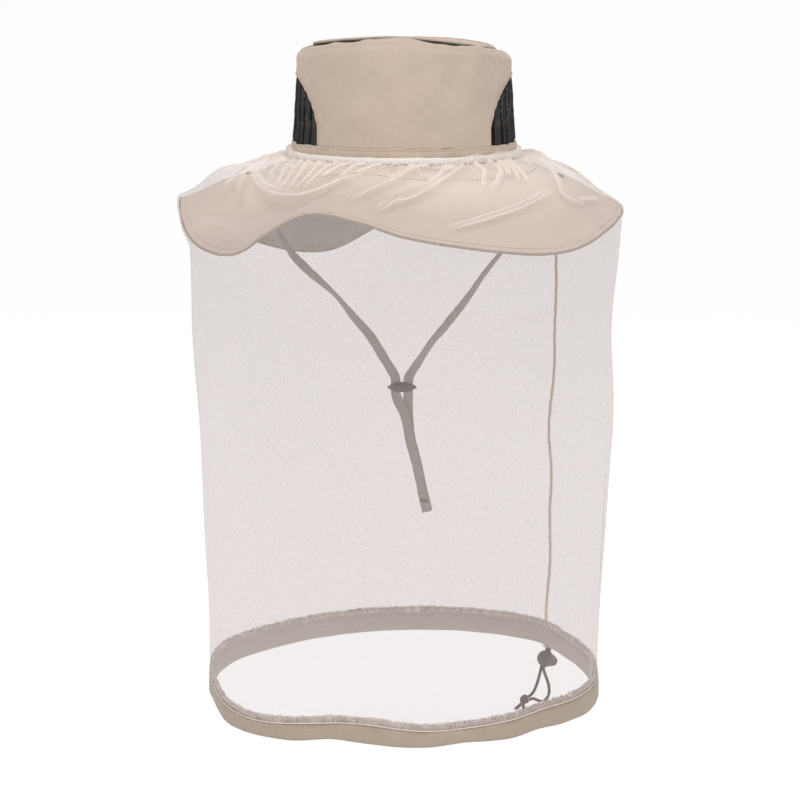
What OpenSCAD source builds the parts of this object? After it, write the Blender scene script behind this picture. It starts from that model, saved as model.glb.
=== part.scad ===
// Beekeeping veil: a brimmed fabric hat with mesh vents, a hanging net on an elastic round the crown,
// a hem with a drawcord and cord lock, and a chin strap of two tapes with a slider.
// The origin is the centre of the head opening, at the level where the brim meets the crown.
// +Z is up and -Y is the front.

/* [Head opening] */
// Width of the head opening
head_w = 169; // [160:1:180]
// Depth of the head opening, front to back
head_d = 200; // [190:1:212]

/* [Crown] */
// Height of the crown's wall at its sides
crown_h = 81; // [74:1:92]
// How much higher the wall is at the front and at the back
crown_rise = 8; // [4:1:12]
// How far the wall leans in below its rounded shoulder
crown_lean = 4; // [1:1:8]
// Radius of the rounded shoulder
shoulder_r = 9; // [6:1:14]
// Height of the strip sewn round the crown's base
band_h = 13.6; // [10:0.2:18]
// Highest level of the arched side vents
vent_top = 62; // [50:1:66]
// Half the angle that a side vent covers
vent_angle = 41.5; // [30:0.5:45]

/* [Brim] */
// Width of the brim along its slope
brim_w = 94; // [80:1:100]
// Thickness of the brim's stiffening layer
brim_core = 1.4; // [1:0.1:2]

/* [Veil] */
// Level of the hem's lower edge, below the origin
hem_drop = 415; // [380:5:440]
// Half the width of the hem
hem_rx = 149; // [142:1:152]
// Half the depth of the hem
hem_ry = 157.5; // [150:0.5:162]
// Height of the hem's casing
casing_h = 15; // [12:1:18]
// Height of the overlocked edge above the casing
overlock_h = 5.4; // [4:0.2:7]

/* [Drawcord] */
// Diameter of the drawcord
cord_d = 2.5; // [2:0.1:2.6]
// Diameter of the ball-shaped cord lock
lock_d = 14; // [13:0.5:15]
// Diameter of the lock's plunger
plunger_d = 7.6; // [7:0.1:8]
// How far the plunger presses in
plunger_travel = 3; // [1:0.5:3]

/* [Chin strap] */
// Width of the strap's tape
tape_w = 7.5; // [6:0.1:7.6]
// Thickness of the tape
tape_t = 1.1; // [0.8:0.1:1.2]
// Width, depth and height of the slider
slider_size = [20.5, 7.6, 8]; // [7:0.5:24]
// Diameter of the studs that fasten the strap through the brim
stud_d = 11.5; // [9:0.5:13]

/* [Hidden] */

// Angles run anticlockwise seen from above: 0 is the right side, 90 the back, 270 the front.
// Drop of the brim's edge below its inner edge, as pairs of angle and drop
brim_lobes = [[3, 40], [33, 34], [60, 22], [103, 75], [118, 85], [135, 82], [150, 67], [180, 38],
    [190, 55], [198, 66], [206, 68], [214, 66], [222, 61.5], [230, 53.5], [238, 42.5], [250, 27],
    [260, 31.5], [270, 42], [286, 52], [302, 58.5], [314, 60.5], [325, 58], [335, 53], [345, 48]];
// The same for the net, which bridges the places where the brim folds down
net_lobes = [[3, 40], [33, 34], [60, 22], [103, 46], [135, 50], [160, 42], [180, 38], [192, 51],
    [205, 58], [218, 54], [230, 44], [240, 33], [250, 26], [260, 31.5], [270, 42], [286, 52],
    [302, 58.5], [314, 60.5], [325, 58], [335, 53], [345, 48]];
// How far the net draws in below the brim's edge, as pairs of angle and distance
net_waist = [[0, 1], [60, 1], [120, 1], [150, 1.5], [172, 6.5], [186, 7], [200, 4.5], [222, 1],
    [260, 0], [320, 0.5]];
// How far the hem bulges out of its oval, as pairs of angle and distance
hem_bulges = [[8, 0], [28, 2], [46, 12], [60, 10], [95, 0], [134, -4], [160, 2], [197, 2], [218, 10],
    [234, 10], [252, -3], [275, 2], [300, 3], [335, 3]];

steps = 72;             // stations round the head
cloth = 0.8;            // thickness of a layer of cloth
gap = 0.35;             // clearance between layers
brim_level = -0.5;      // height of the brim's inner edge
binding_r = 1.7;        // radius of the brim's rolled edge
seam_angle = 46;        // where the veil's side seam meets the brim
exit_angle = 40.3;      // where the drawcord leaves the hem
seam_foot = 41.5;       // where the side seam meets the hem
net_reach = 4.6;        // how far outside the brim the net passes
rim_inset = 17;         // how far the top panel's rim lies in from the crown's base
stud_s = 36.5;          // distance of the studs from the brim's inner edge
post_d = 3;             // diameter of a stud's post
socket_drop = 5.8;      // how far below the brim a socket's lower face is
back_share = 0.35;      // how much of the crown's rise there is at the back
dome_level = 88.5;      // level of the middle of the crown's top
hem_wall = 0.7;         // thickness of the casing's cloth
hem_half = 2.8;         // half the casing's outer thickness
exit_w = 9.4;           // width of the slot that the drawcord leaves through
exit_d = 3.8;           // depth of that slot
turn_angle = 2.2;       // angle along the hem at which the cord turns down to the slot
lock_turn = exit_angle; // the way that the lock's plunger points, seen from above
lock_tilt = 23.5;       // how far it points down
strand = 1.55;          // half the distance between the two strands in the lock
well_d = plunger_d + 0.5;     // the hollow that the plunger slides in
well_floor = -4.8;            // where that hollow ends
plunger_back = -1.4;          // where the plunger ends inside the hollow
collar_d = plunger_d + 2.8;   // the rim round the hollow's mouth
slot_w = 2 * strand + cord_d + 1.1;   // the lock's slot for the two strands
slot_h = cord_d + 1.3;
slider_at = [-1.5, 0, -178];
slot_x = 4.8;           // distance of each tape's slot from the slider's middle

// ---- Curves round the head ----

// Value at an angle of a smooth closed curve through pairs of angle and value
function pair(k, i) = let(n = len(k), w = floor(i / n), q = k[i - w * n]) [q[0] + 360 * w, q[1]];
function slope(k, i) = let(a = pair(k, i - 1), b = pair(k, i + 1)) (b[1] - a[1]) / (b[0] - a[0]);
function span_of(k, a) = len([for (q = k) if (q[0] <= a) q]) - 1;
function smooth(f, p, q, mp, mq) =
    (2 * f^3 - 3 * f^2 + 1) * p + (f^3 - 2 * f^2 + f) * mp
    + (3 * f^2 - 2 * f^3) * q + (f^3 - f^2) * mq;
function ring_value(k, t) =
    let(a = t - 360 * floor(t / 360), i = span_of(k, a), p = pair(k, i), q = pair(k, i + 1),
        w = q[0] - p[0])
    smooth((a - p[0]) / w, p[1], q[1], w * slope(k, i), w * slope(k, i + 1));

// A point of an oval, and the oval's outward direction there
function unit(v) = v / norm(v);
function normal_of(rx, ry, t) = unit([cos(t) / rx, sin(t) / ry]);
function oval(rx, ry, t, out) = [rx * cos(t), ry * sin(t)] + out * normal_of(rx, ry, t);
function head(t, out, z) = concat(oval(head_w / 2, head_d / 2, t, out), [z]);
function hem(t, out, z) = concat(oval(hem_rx, hem_ry, t, out + ring_value(hem_bulges, t)), [z]);

// ---- Crown, brim and net surfaces ----

// Share of the crown's rise at an angle: none at the sides, all at the front, less at the back
function rise(t) = abs(sin(t))^1.5 * (sin(t) > 0 ? back_share : 1);
function wall_top(t) = crown_h + crown_rise * rise(t);
function rim_level(t) = crown_h + 3.5 + (crown_rise - 2) * rise(t);
function vent_level(t) =
    let(side = abs(abs(((t % 360) + 540) % 360 - 180) - 90), f = (90 - side) / vent_angle)
    band_h + gap + (f < 1 ? (vent_top - band_h - gap) * (1 - f^2.2)^(1 / 2.2) : 0);
// Profile of the wall from a lower level to its top edge, as pairs of inset and height
function wall_profile(t, low) =
    let(bend = wall_top(t) - shoulder_r)
    concat([for (f = [0, 0.35, 0.7, 1]) let(z = low + f * (bend - low)) [crown_lean * z / bend, z]],
        [for (a = [32, 60, 84]) [crown_lean + shoulder_r * (1 - cos(a)), bend + shoulder_r * sin(a)]]);
function brim_point(k, t, s, lift) =
    let(fall = asin(ring_value(k, t) / brim_w))
    head(t, gap + s * cos(fall) + lift * sin(fall), brim_level - s * sin(fall) + lift * cos(fall));
function brim_side(t) = brim_point(brim_lobes, t, stud_s, 0);
function brim_fall(t) = asin(ring_value(brim_lobes, t) / brim_w);
// Net between the brim's edge at f = 0 and the hem at f = 1
function net_body_point(t, f, out) =
    let(top = brim_point(net_lobes, t, brim_w + net_reach, -4), low = hem(t, 0, -hem_drop + casing_h
        + overlock_h + gap), p = top + f * (low - top), n = normal_of(hem_rx, hem_ry, t),
        waist = ring_value(net_waist, t) * (1 - exp(-f / 0.035)) * (1 - f)^0.75)
    p + (out - waist) * [n[0], n[1], 0];

// ---- Solids swept through a row of closed sections ----

function volume_sign(p, faces) =
    let(parts = [for (f = faces) cross(p[f[0]], p[f[1]]) * p[f[2]]])
    parts * [for (v = parts) 1];
// The two faces of a layer are cut along the same diagonals, which keeps its thickness.
function sweep_faces(n, m, closed) = concat(
    [for (i = [0:n - (closed ? 1 : 2)], j = [0:m - 1], half = [0, 1])
        let(a = i * m + j, b = i * m + (j + 1) % m, c = ((i + 1) % n) * m + (j + 1) % m,
            d = ((i + 1) % n) * m + j)
        j < m / 2 ? (half == 0 ? [a, b, c] : [a, c, d]) : (half == 0 ? [a, b, d] : [b, c, d])],
    closed ? [] : [for (e = [0, n - 1], j = [0:m / 2 - 2], half = [0, 1])
        let(o = e * m, a = o + j, b = o + j + 1, c = o + m - 2 - j, d = o + m - 1 - j)
        half == 0 ? (e == 0 ? [a, c, b] : [a, b, c])
            : (j == m / 2 - 1 ? [] : (e == 0 ? [a, d, c] : [a, c, d]))]);
function proper(faces) = [for (f = faces) if (len(f) == 3 && f[0] != f[1] && f[1] != f[2]
    && f[0] != f[2]) f];
module sweep(sections, closed = false) {
    points = [for (s = sections) each s];
    faces = proper(sweep_faces(len(sections), len(sections[0]), closed));
    turned = volume_sign(points, faces) > 0;
    polyhedron(points, turned ? [for (f = faces) [f[0], f[2], f[1]]] : faces);
}

// A section of a thin layer, out along one face and back along the other
function layer(front, back) = concat(front, [for (i = [len(back) - 1:-1:0]) back[i]]);
function around(from, to, n) = [for (i = [0:n]) from + (to - from) * i / n];
ring = [for (i = [0:steps - 1]) i * 360 / steps];

// Sections of a cord or tape along a route. width and thick are its two diameters, and turn is how
// far its width is turned from the X direction at each end. It turns beyond the stud at its start.
function heading(r, i) = unit(r[min(i + 1, len(r) - 1)] - r[max(i - 1, 0)]);
function cord_section(p, along, width, thick, turn, flat) =
    let(side = unit(cross([0, 1, 0], along)), up = cross(along, side),
        u = cos(turn) * side + sin(turn) * up, v = cross(along, u))
    [for (k = [0:7]) let(a = 45 * k + 22.5, x = cos(a), y = sin(a), q = flat ? 0.35 : 1)
        p + width / 2 * (flat ? sign(x) * abs(x)^q : x) * u + thick / 2 * y * v];
module cord(route, width, thick, turn_from = 0, turn_to = 0, flat = false) {
    n = len(route) - 1;
    sweep([for (i = [0:n]) cord_section(route[i], heading(route, i), width, thick,
        turn_from + (turn_to - turn_from) * min(1, max(0, 4 * i / n - 0.6)), flat)]);
}
// Points spread along a route, on a smooth curve through its own points
function before(r, i) = i == 0 ? 2 * r[0] - r[1] : r[i - 1];
function after(r, i) = i + 2 > len(r) - 1 ? 2 * r[len(r) - 1] - r[len(r) - 2] : r[i + 2];
function curve(r, n) = [for (i = [0:len(r) - 2], j = [0:n - 1])
    smooth(j / n, r[i], r[i + 1], (r[i + 1] - before(r, i)) / 2, (after(r, i) - r[i]) / 2),
    r[len(r) - 1]];

// ---- Crown ----

// Angles of a panel's stations, from one side to the other. Those beside a vent are the vent's too.
vent_stations = around(0.4, vent_angle, 14);
wall_stations = concat(vent_stations, [for (i = [1:21]) vent_angle + (180 - 2 * vent_angle) * i / 22],
    [for (i = [14:-1:0]) 180 - vent_stations[i]]);
module wall(from) {
    sweep([for (a = wall_stations) let(t = from + a)
        let(profile = wall_profile(t, vent_level(t)))
        layer([for (q = profile) head(t, -q[0], q[1])],
            [for (q = profile) head(t, -q[0] - cloth, q[1] - 0.2)])]);
}
module crown_front_panel() {
    color("#c4b4a0") wall(180);
}
module crown_back_panel() {
    color("#c0b09c") wall(0);
}

// The mesh stays just below the arched edges of the two panels.
module side_vent(middle) {
    low = band_h + gap;
    half = [for (i = [0:13]) vent_stations[i]];
    sweep([for (a = concat([for (i = [13:-1:0]) -half[i]], half))
        let(t = middle + a, bend = wall_top(t) - shoulder_r, high = vent_level(t) - 1.2)
        layer([for (f = [0:3]) let(z = low + f / 3 * (high - low)) head(t, -crown_lean * z / bend, z)],
            [for (f = [0:3]) let(z = low + f / 3 * (high - low))
                head(t, -crown_lean * z / bend - cloth, z)])]);
}
module side_vent_left() {
    color("#2c2c2e") side_vent(180);
}
module side_vent_right() {
    color("#2c2c2e") side_vent(0);
}

// Inset and level of the top edge of the wall, where the mesh gusset of the top begins
function top_edge(t) = [crown_lean + shoulder_r * (1 - cos(84)), wall_top(t) - shoulder_r * (1 - sin(84))];
module crown_top_vent() {
    color("#2c2c2e") sweep([for (t = ring)
        let(e = top_edge(t), z = rim_level(t))
        layer([head(t, -e[0] - cloth - gap, e[1] + gap), head(t, -rim_inset + gap, z - gap)],
            [head(t, -e[0] - cloth - gap - 0.4, e[1] + gap - cloth),
                head(t, -rim_inset + gap - 0.4, z - gap - cloth)])], true);
}

// A dome of rings that close on one middle point above and one below
module crown_top_panel() {
    rings = [1, 0.72, 0.4];
    n = len(rings);
    function at(f, t, down) = let(p = head(t, -rim_inset, 0))
        [p[0] * f, p[1] * f, f * f * rim_level(t) + (1 - f * f) * dome_level - down];
    points = concat([for (f = rings, t = ring) at(f, t, 0)], [for (f = rings, t = ring) at(f, t, cloth)],
        [[0, 0, dome_level], [0, 0, dome_level - cloth]]);
    function vertex(side, r, i) = (side * n + r) * steps + i % steps;
    faces = [for (i = [0:steps - 1]) each concat(
        [for (side = [0, 1], r = [0:n - 2], half = [0, 1])
            let(a = vertex(side, r, i), b = vertex(side, r, i + 1), c = vertex(side, r + 1, i + 1),
                d = vertex(side, r + 1, i), f = half == 0 ? [a, b, c] : [a, c, d])
            side == 0 ? [f[0], f[2], f[1]] : f],
        [[vertex(0, n - 1, i), 2 * n * steps, vertex(0, n - 1, i + 1)],
            [vertex(1, n - 1, i), vertex(1, n - 1, i + 1), 2 * n * steps + 1],
            [vertex(0, 0, i), vertex(0, 0, i + 1), vertex(1, 0, i + 1)],
            [vertex(0, 0, i), vertex(1, 0, i + 1), vertex(1, 0, i)]])];
    color("#c6b6a2") polyhedron(points, faces);
}

// A flat strip round the head, between two distances and two levels
module strip(near, far, low, high) {
    sweep([for (t = ring) [head(t, near, low), head(t, far, low), head(t, far, high),
        head(t, near, high)]], true);
}
module crown_band() {
    color("#bcab95") strip(-cloth, 0, 0.2, band_h);
}
module sweatband() {
    foot = -cloth - gap;
    head_edge = foot - 1.35;
    color("#d8cfc4") sweep([for (t = ring) [head(t, foot - 1, 0.6), head(t, foot, 0.6),
        head(t, head_edge, 24), head(t, head_edge - 1, 24)]], true);
}

// ---- Brim ----

module brim_layer(top, thick) {
    width = brim_w - 2 * binding_r - gap;
    sweep([for (t = ring)
        layer([for (f = [0, 0.5, 1]) brim_point(brim_lobes, t, f * width, top)],
            [for (f = [0, 0.5, 1]) brim_point(brim_lobes, t, f * width, top - thick)])], true);
}
module brim_upper() {
    color("#c4b3a0") brim_layer(0, cloth);
}
module brim_interlining() {
    color("#e4e0d8") brim_layer(-cloth - 0.1, brim_core);
}
module brim_lower() {
    color("#b3a795") brim_layer(-cloth - brim_core - 0.2, cloth);
}
module brim_edge_binding() {
    color("#8f8475") sweep([for (t = ring) [for (k = [0:7])
        brim_point(brim_lobes, t, brim_w - binding_r + binding_r * cos(45 * k),
            -cloth - brim_core / 2 + binding_r * sin(45 * k))]], true);
}

// ---- Strap studs ----

function brim_depth() = 2 * cloth + brim_core + 0.2;
// Slope of the brim's surface along the head at a stud
function side_slope(t) =
    let(a = brim_side(t - 1), b = brim_side(t + 1)) atan((b[2] - a[2]) / norm([b[0] - a[0], b[1] - a[1]]));
module at_stud(t) {
    translate(brim_side(t)) rotate([0, 0, t]) rotate([0, brim_fall(t), 0]) rotate([side_slope(t), 0, 0])
        children();
}
// A domed cap on the brim, with a post that goes down through the brim and the strap's end
module strap_stud(t) {
    dome_r = stud_d * 0.7;
    color("#3a3b3d") at_stud(t) {
        translate([0, 0, gap]) rotate_extrude($fn = 48) intersection() {
            translate([0, 2.4 - dome_r]) circle(r = dome_r, $fn = 96);
            square([stud_d / 2, 2.4]);
        }
        translate([0, 0, -brim_depth() - socket_drop + 0.4])
            cylinder(d = post_d, h = brim_depth() + socket_drop, $fn = 24);
    }
}
// The socket that snaps on the post under the strap
module strap_socket(t) {
    color("#4a4b4d") at_stud(t) translate([0, 0, -brim_depth() - socket_drop])
        rotate_extrude($fn = 48) polygon([[post_d / 2 + 0.05, 0], [3.6, 0], [4.6, 0.8], [4.6, 2],
            [post_d / 2 + 0.05, 2]]);
}
module strap_stud_left() {
    strap_stud(180);
}
module strap_stud_right() {
    strap_stud(0);
}
module strap_socket_left() {
    strap_socket(180);
}
module strap_socket_right() {
    strap_socket(0);
}

// ---- Veil ----

module veil_elastic() {
    color("#f4f2ee") strip(gap, gap + 1.2, 0.4, 4.9);
}
// The net's gathered upper edge, drawn in by the elastic
module veil_gathers() {
    pleat = 0.5;
    color("#e2d3c8") sweep([for (t = ring)
        let(w = pleat * sin(t * 18))
        layer([head(t, 3.2 + w, 0.9), head(t, 3 + w, 5), head(t, 2.6 + w, 8.6)],
            [head(t, 2.5 + w, 0.9), head(t, 2.3 + w, 5), head(t, 1.9 + w, 8.6)])], true);
}
// Net from the gathers out to the brim's edge, as pairs of distance from the head and height above
// the brim
net_profile = [[3.9, 4.4], [20, 7], [50, 6], [78, 5.2], [91, 4.2]];
module veil_net_top() {
    color("#e8dcd4") sweep([for (t = ring)
        layer(concat([for (q = net_profile) brim_point(net_lobes, t, q[0], q[1])],
                [brim_point(net_lobes, t, brim_w + net_reach, -3)]),
            concat([for (q = net_profile) brim_point(net_lobes, t, q[0], q[1] - 0.7)],
                [brim_point(net_lobes, t, brim_w + net_reach - 0.7, -3)]))], true);
}
module veil_net_body() {
    rows = 8;
    color("#ecdfd8") sweep([for (t = ring)
        layer([for (i = [0:rows]) net_body_point(t, i / rows, 0)],
            [for (i = [0:rows]) net_body_point(t, i / rows, -0.7)])], true);
}
// Serged seam inside the net, from the brim down to the hem
module veil_side_seam() {
    rows = 14;
    color("#cdb9a6") sweep([for (i = [0:rows])
        let(f = i / rows * 0.985 + 0.01, t = seam_angle + (seam_foot - seam_angle) * f)
        [net_body_point(t - 0.7, f, -1.3), net_body_point(t + 0.7, f, -1.3),
            net_body_point(t + 0.7, f, -2.6), net_body_point(t - 0.7, f, -2.6)]]);
}

// ---- Hem ----

// A folded channel, open at its top where the overlocked edge closes it
module hem_casing() {
    low = -hem_drop;
    high = -hem_drop + casing_h;
    color("#ac9e8c") difference() {
        sweep([for (t = ring) [hem(t, -hem_half, high), hem(t, -hem_half, low + 0.6),
            hem(t, -hem_half + 0.6, low), hem(t, hem_half - 0.6, low), hem(t, hem_half, low + 0.6),
            hem(t, hem_half, high), hem(t, hem_half - hem_wall, high),
            hem(t, hem_half - hem_wall, low + hem_wall), hem(t, hem_wall - hem_half, low + hem_wall),
            hem(t, hem_wall - hem_half, high)]], true);
        translate(hem(exit_angle, 0, low)) rotate([0, 0, exit_angle])
            translate([-exit_d / 2, -exit_w / 2, -2]) cube([exit_d, exit_w, 4]);
    }
}
module hem_overlock() {
    low = -hem_drop + casing_h + 0.1;
    color("#c2b19e") sweep([for (t = ring) [hem(t, 0.1, low), hem(t, 1.4, low),
        hem(t, 1.4, low + overlock_h - 0.2), hem(t, 0.1, low + overlock_h - 0.2)]], true);
}
// The stitched rim of the slot that the drawcord leaves through
module cord_exit() {
    color("#b3a390") translate(hem(exit_angle, 0, -hem_drop - 0.75)) rotate([0, 0, exit_angle])
        linear_extrude(0.7) difference() {
            square([exit_d + 1.7, exit_w + 1.8], center = true);
            square([exit_d, exit_w], center = true);
        }
}

// ---- Drawcord, with its lock and knot ----

cord_level = -hem_drop + hem_wall + cord_d / 2 + 0.25;
lock_at = hem(exit_angle, -3.6, -hem_drop - 10);
lock_out = [cos(lock_tilt) * cos(lock_turn), cos(lock_tilt) * sin(lock_turn), -sin(lock_tilt)];
lock_side = [-sin(lock_turn), cos(lock_turn), 0];
lock_down = cross(lock_side, lock_out);
function strand_top(side) = lock_at + side * strand * lock_side;
function upper_route(side) =
    let(s = strand_top(side))
    [hem(exit_angle + side * turn_angle, 0, cord_level),
        hem(exit_angle + side * 1.3, 0, cord_level - 0.6),
        hem(exit_angle + side * 0.75, 0, cord_level - 2.4), s - 7.5 * lock_down, s - 4 * lock_down, s];
// Both strands below the lock, from its middle to the knot
lower_a = [[113, 106, -440.5], [110.5, 105.5, -449], [107.5, 105.5, -455], [104, 106, -458.5]];
lower_b = [[118.5, 104, -440], [121, 104.5, -448], [121, 104.5, -456], [117, 104.5, -461.5],
    [112.5, 104.5, -461], [108.5, 105, -459.5], [105, 105.5, -460.5]];
module hem_drawcord() {
    n = 72;
    sections = [for (t = around(exit_angle + turn_angle, exit_angle + 360 - turn_angle, n))
        [for (k = [0:7]) let(a = 45 * k + 22.5)
            hem(t, cord_d / 2 * cos(a), cord_level + cord_d / 2 * sin(a))]];
    color("#55565a") sweep(sections);
}
module upper_cord(side) {
    color("#55565a") cord(curve(upper_route(side), 3), cord_d, cord_d);
}
module lower_cord(side, route) {
    s = strand_top(side);
    color("#55565a") cord(curve(concat([s, s + 5 * lock_down, s + 9 * lock_down], route), 3),
        cord_d, cord_d);
}
module drawcord_upper_a() {
    upper_cord(1);
}
module drawcord_upper_b() {
    upper_cord(-1);
}
module drawcord_lower_a() {
    lower_cord(1, lower_a);
}
module drawcord_lower_b() {
    lower_cord(-1, lower_b);
}
// An overhand knot, as a fat loop, and the two cut ends below it
module drawcord_knot() {
    at = [101, 106, -460.5];
    color("#4c4d51") {
        translate(at) rotate([60, 0, 35]) rotate_extrude($fn = 40) translate([2, 0]) circle(d = 3.4,
            $fn = 24);
        translate(at + [-1, 0, -1]) rotate([0, 222, 0]) cylinder(d = cord_d, h = 10, $fn = 20);
        translate(at + [0, 0.5, -1]) rotate([8, 192, 0]) cylinder(d = cord_d, h = 9.5, $fn = 20);
    }
}

// The lock's own frame: X is the way the plunger points and Z runs up along the cord
module at_lock() {
    translate(lock_at) rotate([0, lock_tilt, lock_turn]) children();
}
module slot(from, to, high) {
    translate([from, -slot_w / 2, -lock_d]) cube([to - from, slot_w, high]);
}
module cord_lock_body() {
    color("#3d3e41") at_lock() difference() {
        rotate([0, 90, 0]) rotate_extrude($fn = 96) difference() {
            intersection() {
                union() {
                    circle(d = lock_d, $fn = 96);
                    translate([0, lock_d / 2 - 2]) square([collar_d / 2, 1.8]);
                }
                translate([0, -lock_d]) square(2 * lock_d);
            }
            translate([0, well_floor]) square([well_d / 2, lock_d]);
        }
        slot(-slot_h / 2, slot_h / 2, 2 * lock_d);
    }
}
// Pressed in, the plunger's slot lines up with the body's and frees the cord.
module cord_lock_plunger() {
    grip = cord_d / 2 + 0.15;
    color("#48494c") at_lock() difference() {
        rotate([0, 90, 0]) translate([0, 0, plunger_back]) union() {
            cylinder(d = plunger_d, h = lock_d / 2 + 5, $fn = 64);
            translate([0, 0, lock_d / 2 + 5]) rotate_extrude($fn = 64) intersection() {
                square([plunger_d / 2, 1]);
                translate([0, -7.3]) circle(r = 8.3, $fn = 96);
            }
        }
        slot(-cord_d / 2, grip + plunger_travel, 2 * lock_d);
    }
}
// A compression spring between the bottom of the well and the plunger
module cord_lock_spring() {
    turns = 2;
    wire = 0.5;
    low = well_floor + wire;
    high = plunger_back - wire;
    n = 12 * turns;
    color("#b9babd") at_lock() rotate([0, 90, 0]) sweep([for (i = [0:n])
        let(t = 360 * turns * i / n, z = low + (high - low) * i / n)
        [for (k = [0:7]) let(a = 45 * k, r = 2.6 + wire / 2 * cos(a))
            [r * cos(t), r * sin(t), z + wire / 2 * sin(a)]]]);
}

// ---- Chin strap ----

// Each leg runs from its stud to the middle of the slider, and each tail on down from there.
left_leg = [[-125, 0, -23.9], [-118, 0, -20.75], [-112, 0, -18.15], [-108, 0, -17.9], [-105.5, 0, -21],
    [-104.5, 0, -27], [-103.3, 0, -34], [-100.6, 0, -45], [-95, 0, -60], [-86, 0, -74], [-76, 0, -85],
    [-65, 0, -95], [-54, 0, -105], [-46, 0, -114], [-38, 0, -124], [-30, 0, -133], [-24, 0, -141],
    [-18.5, 0, -150], [-12, 0, -161], [-7.2, 0, -169], [-6.3, 0, -174], [-6.3, 0, -178]];
right_leg = [[125, 0, -25.8], [118, 0, -22.4], [112, 0, -19.5], [107.8, 0, -19.1], [105, 0, -22.5],
    [102.8, 0, -29], [99.5, 0, -37.5], [95, 0, -46], [85, 0, -60], [72, 0, -76.5], [60, 0, -92],
    [52, 0, -104], [44, 0, -115], [36, 0, -125], [28.5, 0, -134.5], [22, 0, -142], [16, 0, -151],
    [9.5, 0, -161], [4.4, 0, -169], [3.3, 0, -174], [3.3, 0, -178]];
left_tail = [[-6.3, 0, -178], [-6.3, 0, -183], [-3.5, -0.9, -191], [0.5, -1.5, -199], [3, -1.5, -209],
    [4.5, -1.5, -219], [7.5, -1.5, -230], [10, -1.5, -240], [12.5, -1.5, -252], [15, -1.5, -264],
    [18, -1.5, -276]];
right_tail = [[3.3, 0, -178], [3.3, 0, -183], [3.2, 0.6, -191], [3.4, 0.6, -199], [4.2, 0.6, -209],
    [5.4, 0.6, -219], [8.2, 0.6, -230], [10.7, 0.6, -240], [13.2, 0.6, -252], [15.7, 0.6, -264],
    [18.6, 0.6, -275]];
module tape(route, twist) {
    color("#a39a90") cord(curve(route, 2), tape_w, tape_t, twist, 0, true);
}
module chin_strap_left() {
    tape(left_leg, 90);
}
module chin_strap_right() {
    tape(right_leg, -90);
}
module chin_tail_left() {
    tape(left_tail, 0);
}
module chin_tail_right() {
    tape(right_tail, 0);
}
module chin_tail_stitch() {
    color("#6f6a64") translate([15.6, -2.7, -267]) rotate([0, -14, 0])
        cube([tape_w - 1.5, 0.6, 3], center = true);
}
// A lens-shaped slider with a ridge round its middle and a slot for each tape
module chin_slider() {
    size = slider_size;
    color("#39393b") translate(slider_at) difference() {
        union() {
            scale([size[0], size[1] + 2.2, size[2]]) sphere(d = 1, $fn = 96);
            scale([size[0] + 1.6, size[1] + 3.6, 1]) translate([0, 0, -0.9]) cylinder(d = 1, h = 1.8,
                $fn = 96);
        }
        for (side = [-1, 1]) translate([side * slot_x - tape_w / 2 - 0.35, -1, -size[2]])
            cube([tape_w + 0.7, 2, 2 * size[2]]);
    }
}

crown_front_panel();
crown_back_panel();
crown_top_panel();
crown_top_vent();
side_vent_left();
side_vent_right();
crown_band();
sweatband();
brim_upper();
brim_interlining();
brim_lower();
brim_edge_binding();
veil_elastic();
veil_gathers();
veil_net_top();
veil_net_body();
veil_side_seam();
hem_casing();
hem_overlock();
hem_drawcord();
cord_exit();
drawcord_upper_a();
drawcord_upper_b();
drawcord_lower_a();
drawcord_lower_b();
drawcord_knot();
cord_lock_body();
cord_lock_plunger();
cord_lock_spring();
chin_strap_left();
chin_strap_right();
chin_tail_left();
chin_tail_right();
chin_tail_stitch();
chin_slider();
strap_stud_left();
strap_stud_right();
strap_socket_left();
strap_socket_right();
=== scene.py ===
"""Looks of the beekeeping veil: a brimmed fabric hat with mesh vents, a hanging net gathered on an
elastic, a hem with a drawcord and cord lock, and a chin strap of two tapes with a slider."""

import math

import bpy
import numpy as np
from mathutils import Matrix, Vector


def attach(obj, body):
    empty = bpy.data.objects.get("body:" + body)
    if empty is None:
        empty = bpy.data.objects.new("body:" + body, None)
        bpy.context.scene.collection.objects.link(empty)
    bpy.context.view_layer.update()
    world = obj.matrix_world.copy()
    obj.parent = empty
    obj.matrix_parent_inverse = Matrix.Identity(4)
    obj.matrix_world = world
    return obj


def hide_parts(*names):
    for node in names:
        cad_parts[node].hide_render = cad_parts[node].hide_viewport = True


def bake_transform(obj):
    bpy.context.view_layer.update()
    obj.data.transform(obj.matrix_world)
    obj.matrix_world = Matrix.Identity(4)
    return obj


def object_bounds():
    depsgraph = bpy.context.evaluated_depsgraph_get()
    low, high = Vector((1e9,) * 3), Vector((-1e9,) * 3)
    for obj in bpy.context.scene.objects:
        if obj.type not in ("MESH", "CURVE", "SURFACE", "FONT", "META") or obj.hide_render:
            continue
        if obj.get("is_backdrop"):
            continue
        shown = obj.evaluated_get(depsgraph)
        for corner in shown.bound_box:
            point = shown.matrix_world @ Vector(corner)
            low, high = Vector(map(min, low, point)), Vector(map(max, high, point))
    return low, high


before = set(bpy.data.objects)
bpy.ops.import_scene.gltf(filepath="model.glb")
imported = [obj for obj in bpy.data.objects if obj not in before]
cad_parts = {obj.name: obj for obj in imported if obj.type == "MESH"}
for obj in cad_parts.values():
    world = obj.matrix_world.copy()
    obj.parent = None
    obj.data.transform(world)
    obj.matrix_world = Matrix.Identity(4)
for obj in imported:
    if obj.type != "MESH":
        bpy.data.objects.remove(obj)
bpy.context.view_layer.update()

MM = 0.001
BODY = "hat"
scene = bpy.context.scene

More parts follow.
